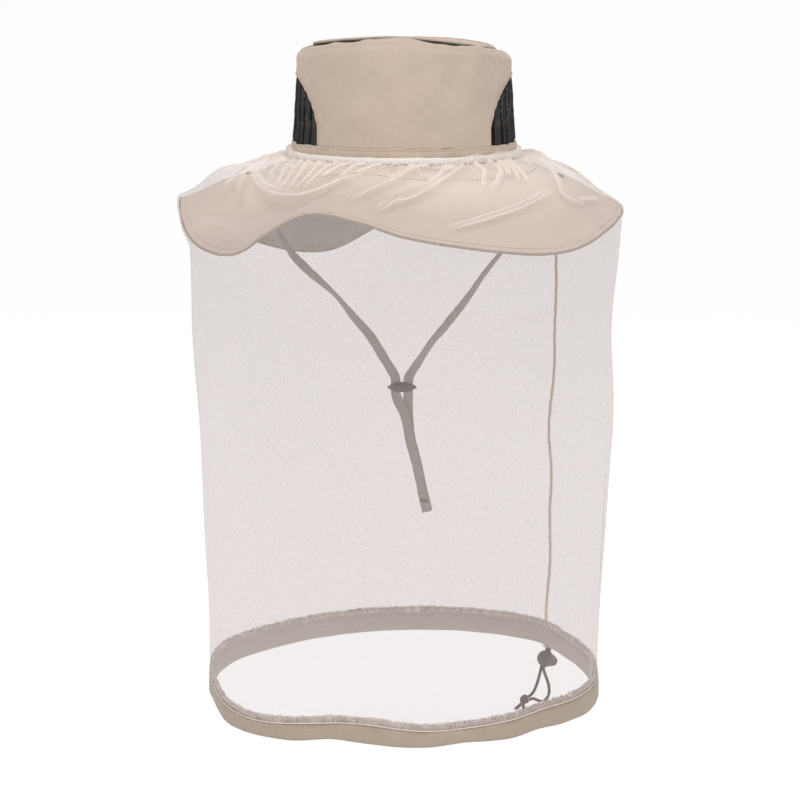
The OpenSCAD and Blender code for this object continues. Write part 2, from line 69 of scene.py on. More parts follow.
# Sizes in millimetres and angles in degrees, as in the CAD source.
HEAD_RX, HEAD_RY = 84.5, 100.0
CROWN_H, CROWN_RISE, CROWN_LEAN, SHOULDER_R = 81.0, 8.0, 4.0, 9.0
BACK_SHARE = 0.35
BAND_H, VENT_TOP, VENT_ANGLE = 11.2, 62.0, 41.5
BRIM_W, BRIM_LEVEL, BRIM_DEPTH = 94.0, -0.5, 3.2
HEM_DROP, HEM_RX, HEM_RY, CASING_H = 415.0, 149.0, 157.5, 15.0
CORD_D, TAPE_W, TAPE_T = 2.5, 7.5, 1.1
GAP, CLOTH = 0.35, 0.8
RIM_INSET = 17.0
SEAM_ANGLE, SEAM_FOOT, EXIT_ANGLE = 46.0, 41.5, 40.3
STRAND = 1.55
LOCK_TILT = 23.5
CORD_LEVEL = -HEM_DROP + 0.7 + CORD_D / 2 + 0.25
CASING_TOP = -HEM_DROP + CASING_H
BRIM_END = BRIM_W - 0.8  # where the brim's faces end inside its binding
NET_BEND, NET_BEND_LIFT = 95.6, -5.0  # where the net turns down past the brim's edge
CROWN_MM, HEM_MM = 1.6, 2.7  # about one degree's length round the crown and the hem, for ripples


# ---- Curves round the head ----


def round_curve(pairs):
    """A smooth closed curve through pairs of angle and value, as a function of angle."""
    pairs = sorted((a % 360, v) for a, v in pairs)
    a = np.array([p[0] for p in pairs], float)
    v = np.array([p[1] for p in pairs], float)
    a = np.concatenate([a[-2:] - 360, a, a[:2] + 360])
    v = np.concatenate([v[-2:], v, v[:2]])
    slope = np.gradient(v)
    slope[1:-1] = (v[2:] - v[:-2]) / (a[2:] - a[:-2])

    def value(t):
        t = np.mod(t, 360.0)
        i = np.clip(np.searchsorted(a, t, side="right") - 1, 1, len(a) - 3)
        w = a[i + 1] - a[i]
        return hermite((t - a[i]) / w, v[i], v[i + 1], w * slope[i], w * slope[i + 1])

    return value


# How far the brim's edge hangs below its root, and how far the net over it does
FRONT_LOBES = [(260, 31.5), (270, 42), (286, 52), (302, 58.5), (314, 60.5), (325, 58), (335, 53), (345, 48)]
BRIM_LOBES = round_curve(
    [(3, 40), (33, 34), (60, 22), (103, 75), (118, 85), (135, 82), (150, 67), (180, 38), (190, 55), (198, 66),
     (206, 68), (214, 66), (222, 61.5), (230, 53.5), (238, 42.5), (250, 27)] + FRONT_LOBES
)
NET_LOBES = round_curve(
    [(3, 40), (33, 34), (60, 22), (103, 46), (135, 50), (160, 46), (170, 43.5), (180, 38), (192, 51),
     (205, 58), (218, 54), (230, 44), (240, 33), (250, 26)] + FRONT_LOBES
)
# Where the brim's soft edge curls: its drop and its extra width there
EDGE_LOBES = round_curve(
    [(3, 41), (33, 34), (60, 22), (103, 75), (118, 85), (135, 82), (150, 67), (170, 33.5), (180, 47),
     (188, 59.7), (196, 66), (204, 67.6), (212, 66), (220, 62.8), (228, 56), (238, 42.5), (250, 27),
     (260, 31.5), (270, 42.3), (286, 51.8), (302, 58.6), (314, 60.6), (325, 58.3), (335, 51.5),
     (345, 50), (354, 44.5)]
)
EDGE_WIDTH = round_curve(
    [(30, 0), (60, 0), (150, 0), (175, 2.5), (186, 5), (200, 0.6), (215, -0.4), (250, 0), (300, 0),
     (330, -2), (345, -4), (358, -2.6)]
)
HEM_BULGES = round_curve(
    [(8, 0), (28, 2), (46, 12), (60, 10), (95, 0), (134, -4), (160, 2), (197, 2), (218, 10),
     (234, 10), (252, -3), (275, 2), (300, 3), (335, 3)]
)
# How far the hem's lower edge and the top of its casing wander up or down
HEM_LOW = round_curve(
    [(0, -1), (60, 0), (120, 0), (180, 0), (197, 1), (216, -2.3), (228, -1.3), (239, -0.5),
     (249, 1.9), (260, 0.5), (276, 0), (287, 2), (300, 0.2), (309, 2.2), (321, 0.2), (340, -3)]
)
HEM_HIGH = round_curve(
    [(0, 0), (60, 0), (120, 0), (180, 0), (200, -2.5), (218, -5), (226, -5.5), (243, -2),
     (258, 0), (276, -3), (287, -2.2), (300, -1), (312, 1.8), (327, 0.3), (343, 0)]
)
# How far the crown's top edge and the rim of its top sit below their even levels
EDGE_DROP = round_curve(
    [(0, 3), (20, 2), (60, 0), (180, 0.3), (211, 0), (235, 0.5), (258, 0), (268, 0), (277, 1.4),
     (288, 3.6), (308, 2.8), (318, 1.6), (335, 2.6), (350, 3)]
)
RIM_DROP = round_curve(
    [(0, 3.4), (30, 1.5), (60, 0), (180, 0), (240, 0), (262, 0), (283, 1.2), (300, 2.4),
     (320, 3.6), (340, 3.8)]
)
# Level of the net's upper edge against the elastic
FRILL_TOP = round_curve(
    [(0, 8), (40, 7.5), (90, 8.5), (140, 7.5), (180, 8), (198, 7), (206, 3), (212, 0.6), (225, 0.5),
     (238, 0.6), (241, 4.6), (244, 4.4), (247, 0.6), (252, 0.5), (254, 3.4), (256, 0.5), (264, 0.5),
     (266, 4), (268, 0.5), (273, 0.6), (279, 1.6), (284, 4.4), (288, 3.4), (293, 6.2), (299, 5), (306, 6.8),
     (313, 5.4), (322, 7.4), (332, 6.4), (345, 7.5)]
)


def cosd(t):
    return np.cos(np.radians(t))


def sind(t):
    return np.sin(np.radians(t))


def oval(rx, ry, t, out, z):
    """Points at a distance outside an oval, at angles t and levels z."""
    t, out, z = np.broadcast_arrays(np.asarray(t, float), out, z)
    nx, ny = cosd(t) / rx, sind(t) / ry
    n = np.hypot(nx, ny)
    return np.stack([rx * cosd(t) + out * nx / n, ry * sind(t) + out * ny / n, z], -1)


def head(t, out, z):
    return oval(HEAD_RX, HEAD_RY, t, out, z)


def hem(t, out, z):
    return oval(HEM_RX, HEM_RY, t, np.asarray(out) + HEM_BULGES(t), z)


def rise(t):
    """How much of the crown's extra height at its front and back is reached at an angle."""
    s = sind(t)
    return np.where(s < 0, 1.0, BACK_SHARE) * np.abs(s) ** 1.5


def wall_top(t):
    return CROWN_H + CROWN_RISE * rise(t)


def rim_level(t):
    return CROWN_H + 3.5 + (CROWN_RISE - 2) * rise(t)


def brim_point(lobes, t, s, lift):
    """A point at distance s down the brim's slope from its root, lifted off it."""
    fall = np.arcsin(lobes(t) / BRIM_W)
    c, d = np.cos(fall), np.sin(fall)
    return head(t, GAP + s * c + lift * d, BRIM_LEVEL - s * d + lift * c)


def edge_curl(t, s):
    """How far the brim's outer half, and the net on it, curl away from the straight slope."""
    curl_start, past_edge = 38, 1.08
    width = BRIM_W + EDGE_WIDTH(t)
    straight, bent = np.arcsin(BRIM_LOBES(t) / BRIM_W), np.arcsin(EDGE_LOBES(t) / BRIM_W)
    out = width * np.cos(bent) - BRIM_W * np.cos(straight)
    down = width * np.sin(bent) - BRIM_W * np.sin(straight)
    share = np.clip((s - curl_start) / (BRIM_W - curl_start), 0, past_edge) ** 1.6
    shift = head(t, out * share, 0) - head(t, 0, 0)
    shift[..., 2] -= down * share
    return shift


def bell(x, middle, width):
    return np.exp(-(((x - middle) / width) ** 2))


def tent(t, s):
    """How far the net is held up off the middle of the brim at the two sides."""
    left = 10.5 * bell(t, 177, 17) * bell(s, 56, 23)
    right = 2.5 * bell((t + 180) % 360 - 180, 0, 13) * bell(s, 52, 23)
    return left + right


def ripple(u, v, size, seed):
    """Smooth even wobble between about -1 and 1, with features of the given size."""
    count = 7
    draw = np.random.default_rng(seed)
    total = 0
    for _ in range(count):
        angle, phase = draw.uniform(0, 2 * math.pi, 2)
        k = 2 * math.pi / size * draw.uniform(0.6, 1.5)
        total = total + np.sin(k * (u * math.cos(angle) + v * math.sin(angle)) + phase)
    return total / math.sqrt(count)


def smoothstep(low, high, x):
    x = np.clip((x - low) / (high - low), 0, 1)
    return x * x * (3 - 2 * x)


def hermite(f, start, end, start_slope, end_slope):
    """A cubic from start to end, which leaves and arrives with the given slopes."""
    return (
        (2 * f**3 - 3 * f**2 + 1) * start + (f**3 - 2 * f**2 + f) * start_slope
        + (3 * f**2 - 2 * f**3) * end + (f**3 - f**2) * end_slope
    )


def through(points, n):
    """Points spread along a smooth curve through a route's own points, n to each span."""
    p = np.array(points, float)
    ends = np.concatenate([[2 * p[0] - p[1]], p, [2 * p[-1] - p[-2]]])
    f = np.linspace(0, 1, n, endpoint=False)[:, None]
    quads = zip(ends, ends[1:], ends[2:], ends[3:])
    spans = [hermite(f, b, c, (c - a) / 2, (d - b) / 2) for a, b, c, d in quads]
    return np.concatenate(spans + [p[-1:]])


def unit(v):
    return v / np.maximum(np.linalg.norm(v, axis=-1, keepdims=True), 1e-12)


def walk(points, axis=0):
    """Distance walked along a line of points, from 0 at its start."""
    steps = np.linalg.norm(np.diff(points, axis=axis), axis=-1)
    return np.concatenate([[0], np.cumsum(steps if steps.ndim == 1 else steps.mean(1 - axis))])


def spread(points, step):
    """The same line with points an even step apart."""
    points = np.asarray(points, float)
    length = walk(points)
    at = np.linspace(0, length[-1], max(2, int(round(length[-1] / step)) + 1))
    return np.stack([np.interp(at, length, points[:, k]) for k in range(3)], -1)


def turns(count):
    """Even angles round the object."""
    return np.linspace(0, 360, count, endpoint=False)


# ---- Meshes ----


def make_mesh(name, points, faces, uv):
    """An object from points in millimetres, faces and each face corner's place on the cloth."""
    mesh = bpy.data.meshes.new(name)
    mesh.from_pydata((np.asarray(points) * MM).tolist(), [], faces)
    mesh.uv_layers.new(name="UVMap").data.foreach_set("uv", (np.asarray(uv, float) * MM).ravel())
    mesh.polygons.foreach_set("use_smooth", [True] * len(faces))
    mesh.update()
    obj = bpy.data.objects.new(name, mesh)
    scene.collection.objects.link(obj)
    return obj


def grid_faces(nu, nv, wrap_u=False, wrap_v=False):
    """Faces between points that stand in rows, and their corners' row and column numbers."""
    i, j = np.meshgrid(
        np.arange(nu if wrap_u else nu - 1), np.arange(nv if wrap_v else nv - 1), indexing="ij"
    )
    i, j = i.ravel(), j.ravel()
    i2, j2 = (i + 1) % nu, (j + 1) % nv
    faces = np.stack([i * nv + j, i2 * nv + j, i2 * nv + j2, i * nv + j2], -1)
    corners = np.stack([[i, j], [i + 1, j], [i + 1, j + 1], [i, j + 1]], 0)
    return faces, corners


def grid(name, points, wrap_u=False, plan=False, flip=False, cloth_u=None):
    """A surface through a grid of points. Its cloth coordinates follow the grid's own lengths, or
    the ground plan, or given lengths round the wrapped direction."""
    faces, corners = grid_faces(*points.shape[:2], wrap_u)
    if plan:
        uv = points[..., :2].reshape(-1, 2)[faces]
    else:
        closed = np.concatenate([points, points[:1]]) if wrap_u else points
        lu = walk(closed) if cloth_u is None else cloth_u
        uv = np.stack([lu[corners[:, 0]], walk(points, 1)[corners[:, 1]]], -1).transpose(1, 0, 2)
    if flip:
        faces, uv = faces[:, ::-1], uv[:, ::-1]
    return make_mesh(name, points.reshape(-1, 3), faces.tolist(), uv)


def thicken(obj, thickness):
    """Gives a sheet its thickness, on the side away from its normals."""
    solid = obj.modifiers.new("thickness", "SOLIDIFY")
    solid.thickness = thickness * MM
    solid.offset = -1
    solid.use_even_offset = False


def tube(name, path, radius, sides=8, closed=False, flat=None, side=None, caps=True):
    """A cord along a path. flat is a second radius across it, and side the direction of the first."""
    path = np.asarray(path, float)
    n = len(path)
    around = np.roll(path, -1, 0) - np.roll(path, 1, 0) if closed else np.gradient(path, axis=0)
    along = unit(around)
    if side is None:
        side = np.cross([0.03, 0.05, 1.0], along)
        upright = np.linalg.norm(side, axis=1, keepdims=True) < 0.2
        side = np.where(upright, np.cross([1.0, 0, 0], along), side)
    side = unit(side - (side * along).sum(1, keepdims=True) * along)
    up = np.cross(along, side)
    angle = np.linspace(0, 2 * math.pi, sides, endpoint=False) + math.pi / sides
    a = np.broadcast_to(np.asarray(radius, float), (n,))
    b = a if flat is None else np.broadcast_to(np.asarray(flat, float), (n,))
    x, y = np.cos(angle), np.sin(angle)
    if flat is not None:
        x = np.sign(x) * np.abs(x) ** 0.4
    across = (a[:, None] * x)[..., None] * side[:, None] + (b[:, None] * y)[..., None] * up[:, None]
    points = (path[:, None] + across).reshape(-1, 3)
    faces, corners = grid_faces(n, sides, closed, True)
    length = walk(np.concatenate([path, path[:1] if closed else path[-1:]]))
    girth = math.pi * float(a.mean() + b.mean())
    uv = np.stack([length[corners[:, 0]], corners[:, 1] * girth / sides], -1).transpose(1, 0, 2)
    faces, uv = faces.tolist(), uv.reshape(-1, 2).tolist()
    if caps and not closed:
        for end, order in ((0, range(sides)), (n - 1, range(sides - 1, -1, -1))):
            faces.append([end * sides + k for k in order])
            uv += [[length[end], 0]] * sides
    return make_mesh(name, points, faces, uv)


def merge(name, objects):
    """One object from several, which keeps their materials and cloth coordinates."""
    target = objects[0]
    with bpy.context.temp_override(
        active_object=target, object=target, selected_objects=objects, selected_editable_objects=objects
    ):
        bpy.ops.object.join()
    target.name = name
    target.data.name = name
    return target


STITCH_SIDES = 6
# A stitch's rings: place along it, share of its full radius, and height above the cloth
STITCH_PROFILE = [(-0.5, 0.12, -0.3), (-0.34, 0.8, 0.1), (0, 1, 0.3), (0.34, 0.8, 0.1), (0.5, 0.12, -0.3)]


def stitches(path, normal, pitch=2.7, length=1.9, width=0.5, name="stitches"):
    """A row of thread dashes that lies on a surface along a path."""
    sink, squat = 0.05, 0.8
    path = np.asarray(path, float)
    distance = walk(path)
    normal = np.broadcast_to(normal, path.shape)
    points, faces = [], []
    for k in range(int(distance[-1] / pitch)):
        middle = (k + 0.5) * pitch
        at = [
            np.array([np.interp(middle + f * length, distance, path[:, c]) for c in range(3)])
            for f, _, _ in STITCH_PROFILE
        ]
        up = unit(np.array([np.interp(middle, distance, normal[:, c]) for c in range(3)]))
        side = np.cross(up, unit(at[-1] - at[0]))
        base = len(points)
        for centre, (_, r, lift) in zip(at, STITCH_PROFILE):
            for q in range(STITCH_SIDES):
                a = 2 * math.pi * q / STITCH_SIDES
                points.append(
                    centre + up * (lift * width - sink + r * width / 2 * squat * math.sin(a))
                    + side * (r * width / 2 * math.cos(a))
                )
        for i in range(len(STITCH_PROFILE) - 1):
            for q in range(STITCH_SIDES):
                a, b = (base + i * STITCH_SIDES + p for p in (q, (q + 1) % STITCH_SIDES))
                faces.append([a, b, b + STITCH_SIDES, a + STITCH_SIDES])
    return make_mesh(name, points, faces, np.zeros((len(faces) * 4, 2)))


def zigzag(name, path, across, normal, width, pitch, radius, seed):
    """Overlock thread: a line that swings from side to side along an edge."""
    swing_points = 6
    draw = np.random.default_rng(seed)
    path = spread(path, pitch / swing_points)
    n = len(path)
    k = np.arange(n)
    swing = np.abs((k / swing_points + 0.25 * ripple(k / swing_points, 0, 9, seed)) % 1 * 2 - 1)
    knots = np.arange(0, n + swing_points, swing_points)
    reach = np.interp(k, knots, draw.uniform(0.8, 1.15, len(knots)))
    across = unit(np.broadcast_to(across, path.shape))
    normal = unit(np.broadcast_to(normal, path.shape))
    jitter = draw.normal(0, 0.12, (n, 3)) * radius
    bob = 0.25 * radius * np.sin(k * math.pi / 3)
    line = path + across * ((swing * reach - 0.5) * width)[:, None] + normal * bob[:, None] + jitter
    return tube(name, line, radius, sides=5, caps=False)


def dress(obj, material):
    obj.data.materials.clear()
    obj.data.materials.append(material)


def finish_piece(obj, material, slot, *nodes, body=BODY):
    """Gives a piece its material and body, and hides the CAD nodes that it stands for. slot is not used."""
    dress(obj, material)
    if body:
        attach(obj, body)
    if nodes:
        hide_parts(*nodes)


def attribute(obj, name, values):
    """Stores a value at each point, which the object's material reads."""
    layer = obj.data.attributes.new(name, "FLOAT", "POINT")
    layer.data.foreach_set("value", values.ravel().astype(np.float32))


# ---- Materials ----


def linear(colour):
    """A colour given as 0 to 255 shades, in the linear values that the shader takes."""
    values = [c / 255 for c in colour]
    return [c / 12.92 if c < 0.04045 else ((c + 0.055) / 1.055) ** 2.4 for c in values] + [1]


def shade(colour, factor):
    return linear([min(255, c * factor) for c in colour])


class Shader:
    """Short names for making a material's nodes."""

    def __init__(self, name):
        self.material = bpy.data.materials.new(name)
        self.material.use_nodes = True
        self.tree = self.material.node_tree
        self.tree.nodes.clear()
        self.out = self.tree.nodes.new("ShaderNodeOutputMaterial")
        self.coords = self.tree.nodes.new("ShaderNodeTexCoord")

    def node(self, kind, inputs=None, **settings):
        made = self.tree.nodes.new("ShaderNode" + kind)
        for key, value in settings.items():
            setattr(made, key, value)
        for key, value in (inputs or {}).items():
            if isinstance(value, bpy.types.NodeSocket):
                self.tree.links.new(value, made.inputs[key])
            else:
                made.inputs[key].default_value = value
        return made

    def maths(self, operation, a, b, clamp=False):
        return self.node("Math", {0: a, 1: b}, operation=operation, use_clamp=clamp).outputs[0]

    def times(self, a, b):
        return self.maths("MULTIPLY", a, b)

    def plus(self, a, b):
        return self.maths("ADD", a, b)

    def mean(self, a, b):
        return self.times(self.plus(a, b), 0.5)

    def scaled(self, x, y, source="UV", turn=0.0):
        vector = self.coords.outputs[source] if isinstance(source, str) else source
        inputs = {"Vector": vector, "Scale": (x, y, 1.0), "Rotation": (0, 0, turn)}
        return self.node("Mapping", inputs).outputs[0]

    def pitched(self, pitch, slant=0.0, source="UV"):
        """The cloth's coordinates in steps of a pitch in millimetres, turned by a slant in degrees."""
        return self.scaled(1000 / pitch, 1000 / pitch, source, math.radians(slant))

    def noise(self, vector, scale, detail=3.0, rough=0.5):
        inputs = {"Vector": vector, "Scale": scale, "Detail": detail, "Roughness": rough}
        return self.node("TexNoise", inputs).outputs[0]

    def solid_noise(self, *settings):
        """Noise that fills the object's space, for what doesn't follow the cloth."""
        return self.noise(self.scaled(1, 1, "Object"), *settings)

    def bands(self, vector, distort=0.0, axis="X"):
        """A wave with one crest for each unit of the vector."""
        return self.node(
            "TexWave", {"Vector": vector, "Scale": 2 * math.pi / 20, "Distortion": distort, "Detail": 0.0},
            wave_type="BANDS", bands_direction=axis, wave_profile="SIN",
        ).outputs[1]

    def crossed(self, pitch, source="UV"):
        """Threads that cross on the slant: 1 on a thread and 0 between them."""
        right, left = (self.bands(self.pitched(pitch, slant, source)) for slant in (33, -33))
        return self.maths("MAXIMUM", right, left)

    def ramp(self, value, low, high, to_low=0.0, to_high=1.0):
        inputs = {"Value": value, "From Min": low, "From Max": high, "To Min": to_low, "To Max": to_high}
        return self.node("MapRange", inputs).outputs[0]

    def mix(self, share, a, b):
        return self.node("Mix", {0: share, 6: a, 7: b}, data_type="RGBA").outputs[2]

    def point_value(self, name):
        return self.node("Attribute", attribute_name=name).outputs["Fac"]

    def bump(self, height, strength, distance):
        inputs = {"Height": height, "Strength": strength, "Distance": distance}
        return self.node("Bump", inputs).outputs[0]

    def surface(self, shader):
        self.tree.links.new(shader.outputs[0], self.out.inputs["Surface"])
        return self.material

    def principled(self, base, rough, gloss, relief, more):
        """The material with a solid surface. relief is the height, strength and distance of its bump."""
        inputs = {"Base Color": base, "Roughness": rough, "Specular IOR Level": gloss}
        inputs["Normal"] = self.bump(*relief)
        return self.surface(self.node("BsdfPrincipled", {**inputs, **more}))

    def netting(self, base, cover, translucent, relief):
        """The material with threads that pass some light, and clear holes where cover is low."""
        normal = self.bump(*relief)
        diffuse = self.node("BsdfDiffuse", {"Color": base, "Roughness": 0.5, "Normal": normal})
        glow = self.node("BsdfTranslucent", {"Color": base, "Normal": normal})
        thread = self.node("MixShader", {0: translucent, 1: diffuse.outputs[0], 2: glow.outputs[0]})
        clear = self.node("BsdfTransparent")
        return self.surface(self.node("MixShader", {0: cover, 1: clear.outputs[0], 2: thread.outputs[0]}))


def woven(name, colour, thread=0.55, slub=0.02, net_shadow_hatch=None):
    """Plain-woven cotton: crossing yarns of uneven thickness, and soft shade differences. The last
    argument gives the pitch, two slants and depth of faint dark lines across it, a painted moiré shadow of
    the net in front."""
    s = Shader(name)
    cloth = s.pitched(thread)
    weave = s.mean(s.bands(cloth, 0.6), s.bands(cloth, 0.6, "Y"))
    yarns = s.mean(s.noise(s.scaled(70, 1800), 1.0), s.noise(s.scaled(1800, 70), 1.0))
    base = s.mix(s.ramp(yarns, 0.36, 0.64), shade(colour, 1 - slub), shade(colour, 1 + slub * 0.8))
    base = s.mix(s.ramp(s.solid_noise(28.0, 4.0), 0.4, 0.75, 0.0, 0.65), base, shade(colour, 0.965))
    base = s.mix(s.ramp(weave, 0.2, 0.5, 0.2, 0.0), base, shade(colour, 0.86))
    # painted shadow: faint dark moiré lines for the shadow of the net that hangs in front of this cloth
    if net_shadow_hatch:
        pitch, slant, other_slant, depth = net_shadow_hatch
        lines = s.bands(s.pitched(pitch, slant), 0.6)
        across = s.bands(s.pitched(pitch / 1.12, other_slant), 0.6)
        where = s.ramp(s.solid_noise(11.0, 1.0), 0.42, 0.6)
        lines = s.node("Mix", {0: where, 2: lines, 3: across}).outputs[0]
        base = s.mix(s.times(lines, depth), base, shade(colour, 0.55))
    height = s.plus(s.times(weave, 0.7), s.times(yarns, 0.4))
    return s.principled(
        base, s.ramp(yarns, 0.3, 0.7, 0.79, 0.91), 0.25, (height, 0.3, 0.00025),
        {"Sheen Weight": 0.15, "Sheen Roughness": 0.5},
    )


def vent_mesh(name, colour, pitch):
    """Thin knitted mesh with open holes, and painted shade that darkens the valleys of its pleats."""
    s = Shader(name)
    threads = s.crossed(pitch)
    tone = s.noise(s.scaled(300, 300), 1.0)
    base = s.mix(s.ramp(tone, 0.35, 0.65), shade(colour, 0.95), shade(colour, 1.04))
    rows = s.bands(s.scaled(1, 1000 / 1.15), 0.8, "Y")
    base = s.mix(s.ramp(rows, 0.4, 0.9, 0.0, 0.3), base, shade(colour, 1.5))
    # painted shade: the colour is darkened towards black in the pleats' valleys
    base = s.mix(s.point_value("painted_pleat_shade"), base, shade(colour, 0.3))
    return s.netting(base, s.ramp(threads, 0.12, 0.3), 0.05, (threads, 0.4, 0.0002))


def veil_mesh(name, colour, painted_light_colour, pitch):
    """Fine net. It is denser where it is drawn in and where it lies in folds, as its own
    attributes say, and there its threads are painted paler: painted light for the net lying lit from above
    over the brim and in layers."""
    s = Shader(name)
    flat = s.coords.outputs["UV"]
    wander = s.node("TexNoise", {"Vector": flat, "Scale": 130.0, "Detail": 2.0}).outputs[1]
    wander = s.node("VectorMath", {0: wander, 1: (0.5, 0.5, 0.5)}, operation="SUBTRACT").outputs[0]
    wander = s.node("VectorMath", {0: wander, "Scale": 0.0022}, operation="SCALE").outputs[0]
    flat = s.node("VectorMath", {0: flat, 1: wander}, operation="ADD").outputs[0]
    threads = s.crossed(pitch, flat)
    drawn_in, folded = s.point_value("drawn_in"), s.point_value("folded")
    closer = s.plus(s.times(drawn_in, 0.16), s.times(folded, 0.55))
    cover = s.maths("ADD", s.ramp(threads, 0.55, 1.0, 0.12, 0.47), closer, clamp=True)
    # painted highlight: threads that are drawn in over the brim or folded are mixed towards a paler colour
    pale = s.maths("MAXIMUM", s.times(drawn_in, 2.4), folded, clamp=True)
    tone = s.noise(s.scaled(300, 300), 1.0)
    body = s.mix(s.ramp(tone, 0.35, 0.65), shade(colour, 0.96), shade(colour, 1.03))
    base = s.mix(pale, body, linear(painted_light_colour))
    return s.netting(base, cover, 0.35, (threads, 0.3, 0.00015))


def yarn(name, colour, grain=900.0, spread_of=0.18):
    """Thread and cord: fine strands, uneven in shade."""
    s = Shader(name)
    strands = s.bands(s.scaled(1000 / 1.1, 1000 / 1.4, turn=math.radians(38)), 1.2)
    fuzz = s.solid_noise(grain, 4.0, 0.7)
    base = s.mix(s.mean(strands, fuzz), shade(colour, 1 - spread_of), shade(colour, 1 + spread_of))
    return s.principled(
        base, s.ramp(fuzz, 0.3, 0.7, 0.77, 0.93), 0.3, (s.plus(strands, s.times(fuzz, 0.6)), 0.6, 0.0003),
        {"Sheen Weight": 0.3, "Sheen Roughness": 0.4},
    )


def ribbed(name, colour, pitch, depth, slant=0):
    """Woven tape or elastic: ribs across it and fine yarns along it."""
    s = Shader(name)
    weave = s.mean(s.bands(s.pitched(pitch, slant), 0.4), s.bands(s.pitched(pitch, 90 - slant), 0.4))
    fuzz = s.solid_noise(700.0, 4.0, 0.65)
    base = s.mix(s.ramp(weave, 0.15, 0.85), shade(colour, 1 - depth), shade(colour, 1 + depth * 0.7))
    base = s.mix(s.ramp(fuzz, 0.35, 0.7, 0.0, 0.5), base, shade(colour, 0.9))
    return s.principled(
        base, s.ramp(fuzz, 0.3, 0.7, 0.67, 0.83), 0.3, (s.plus(weave, s.times(fuzz, 0.4)), 0.55, 0.0003),
        {"Sheen Weight": 0.2},
    )


def moulded(name, colour, rough=0.42, metallic=0.0):
    """Moulded plastic or plated metal with a fine grain and slight wear."""
    s = Shader(name)
    where = s.scaled(1, 1, "Object")
    worn = s.noise(where, 240.0, 4.0, 0.6)
    bright = linear([min(255, c * 1.15 + 4) for c in colour])
    base = s.mix(s.ramp(worn, 0.45, 0.75), shade(colour, 0.94), bright)
    return s.principled(
        base, s.ramp(worn, 0.3, 0.75, rough - 0.08, rough + 0.12), 0.5,
        (s.noise(where, 2200.0, 3.0, 0.6), 0.25, 0.00012), {"Metallic": metallic},
    )


crown_cloth = woven("crown_cotton", (182, 165, 150))
band_cloth = woven("band_cotton", (182, 165, 148), slub=0.04)
# painted light: the brim's top is a lighter copy of the crown's cotton for the light from above, and its
# underside a greyer copy, painted shade
lit_brim_cloth = woven("brim_cotton_painted_light", (220, 207, 196), net_shadow_hatch=(2.0, 60, 100, 0.17))
shaded_under_cloth = woven("brim_underside_cotton_painted_shade", (204, 199, 193), thread=0.6, net_shadow_hatch=(1.6, 88, 93, 0.85))
bind_cloth = woven("binding_cotton", (166, 153, 139), thread=0.5)
hem_cloth = woven("hem_cotton", (164, 149, 133), thread=0.5, slub=0.05)
# painted light: the casing's inner face is a lighter, greyer copy of the hem cotton, against the shade that
# falls there
lit_hem_inside = woven("hem_inner_cotton_painted_light", (188, 180, 174), thread=0.5, net_shadow_hatch=(2.6, 50, 40, 0.34))
black_mesh = vent_mesh("black_mesh", (54, 53, 53), 1.2)
# painted highlight: the second colour is the paler net where it is drawn in over the brim and folded
net_mesh = veil_mesh("veil_net", (199, 182, 178), (241, 233, 227), 0.85)
net_edge = yarn("net_edge_fold", (216, 202, 192), spread_of=0.08)
thread_tan = yarn("seam_thread_tan", (202, 184, 162))
thread_beige = yarn("overlock_thread", (212, 192, 174), spread_of=0.22)
hem_thread = yarn("hem_overlock_thread", (252, 208, 187), grain=620.0, spread_of=0.34)
stitch_dark = yarn("topstitch_thread", (168, 150, 126))
stitch_grey = yarn("brim_seam_thread", (112, 112, 116))
cord_yarn = yarn("drawcord_braid", (55, 55, 57), spread_of=0.35)
tape_cloth = ribbed("strap_tape", (152, 149, 144), 1.3, 0.12, slant=28)
elastic_cloth = ribbed("white_elastic", (230, 223, 219), 1.1, 0.08)
sweat_cloth = woven("sweatband_cotton", (206, 196, 182), thread=0.45)
tack_thread = yarn("bar_tack_thread", (110, 104, 97))
lock_plastic = moulded("lock_plastic", (62, 62, 64))
slider_plastic = moulded("slider_plastic", (58, 58, 59), rough=0.38)
stud_metal = moulded("stud_metal", (96, 96, 98), rough=0.35, metallic=0.85)
spring_steel = moulded("spring_steel", (176, 177, 180), rough=0.3, metallic=1.0)


# ---- Camera ----

camera = bpy.data.objects.new("camera", bpy.data.cameras.new("camera"))
camera.data.sensor_width = 36
camera.data.lens = 106.6
camera.data.clip_end = 400
camera.location = (-0.003, -1.8, 0.126)
camera.rotation_euler = (math.radians(80.1), 0, 0)
scene.collection.objects.link(camera)
scene.camera = camera


# ---- Cords: drawcord, strands, knot and chin strap ----

out_turn, out_tilt = math.radians(EXIT_ANGLE), math.radians(LOCK_TILT)
LOCK_OUT = np.array(
    [math.cos(out_tilt) * math.cos(out_turn), math.cos(out_tilt) * math.sin(out_turn), -math.sin(out_tilt)]
)
LOCK_SIDE = np.array([-math.sin(out_turn), math.cos(out_turn), 0])
LOCK_DOWN = np.cross(LOCK_SIDE, LOCK_OUT)
LOCK_AT = hem(EXIT_ANGLE, -3.6, -HEM_DROP - 10)


def strand_top(side):
    """Where a strand passes the middle of the lock."""
    return LOCK_AT + side * STRAND * LOCK_SIDE


def upper_route(side):
    """A strand's route from inside the casing, out of the exit and into the lock."""
    s = strand_top(side)
    return [
        hem(EXIT_ANGLE + side * 2.2, 0, CORD_LEVEL), hem(EXIT_ANGLE + side * 1.3, 0, CORD_LEVEL - 0.6),
        hem(EXIT_ANGLE + side * 0.75, 0, CORD_LEVEL - 2.4), s - 7.5 * LOCK_DOWN, s - 4 * LOCK_DOWN, s,
    ]


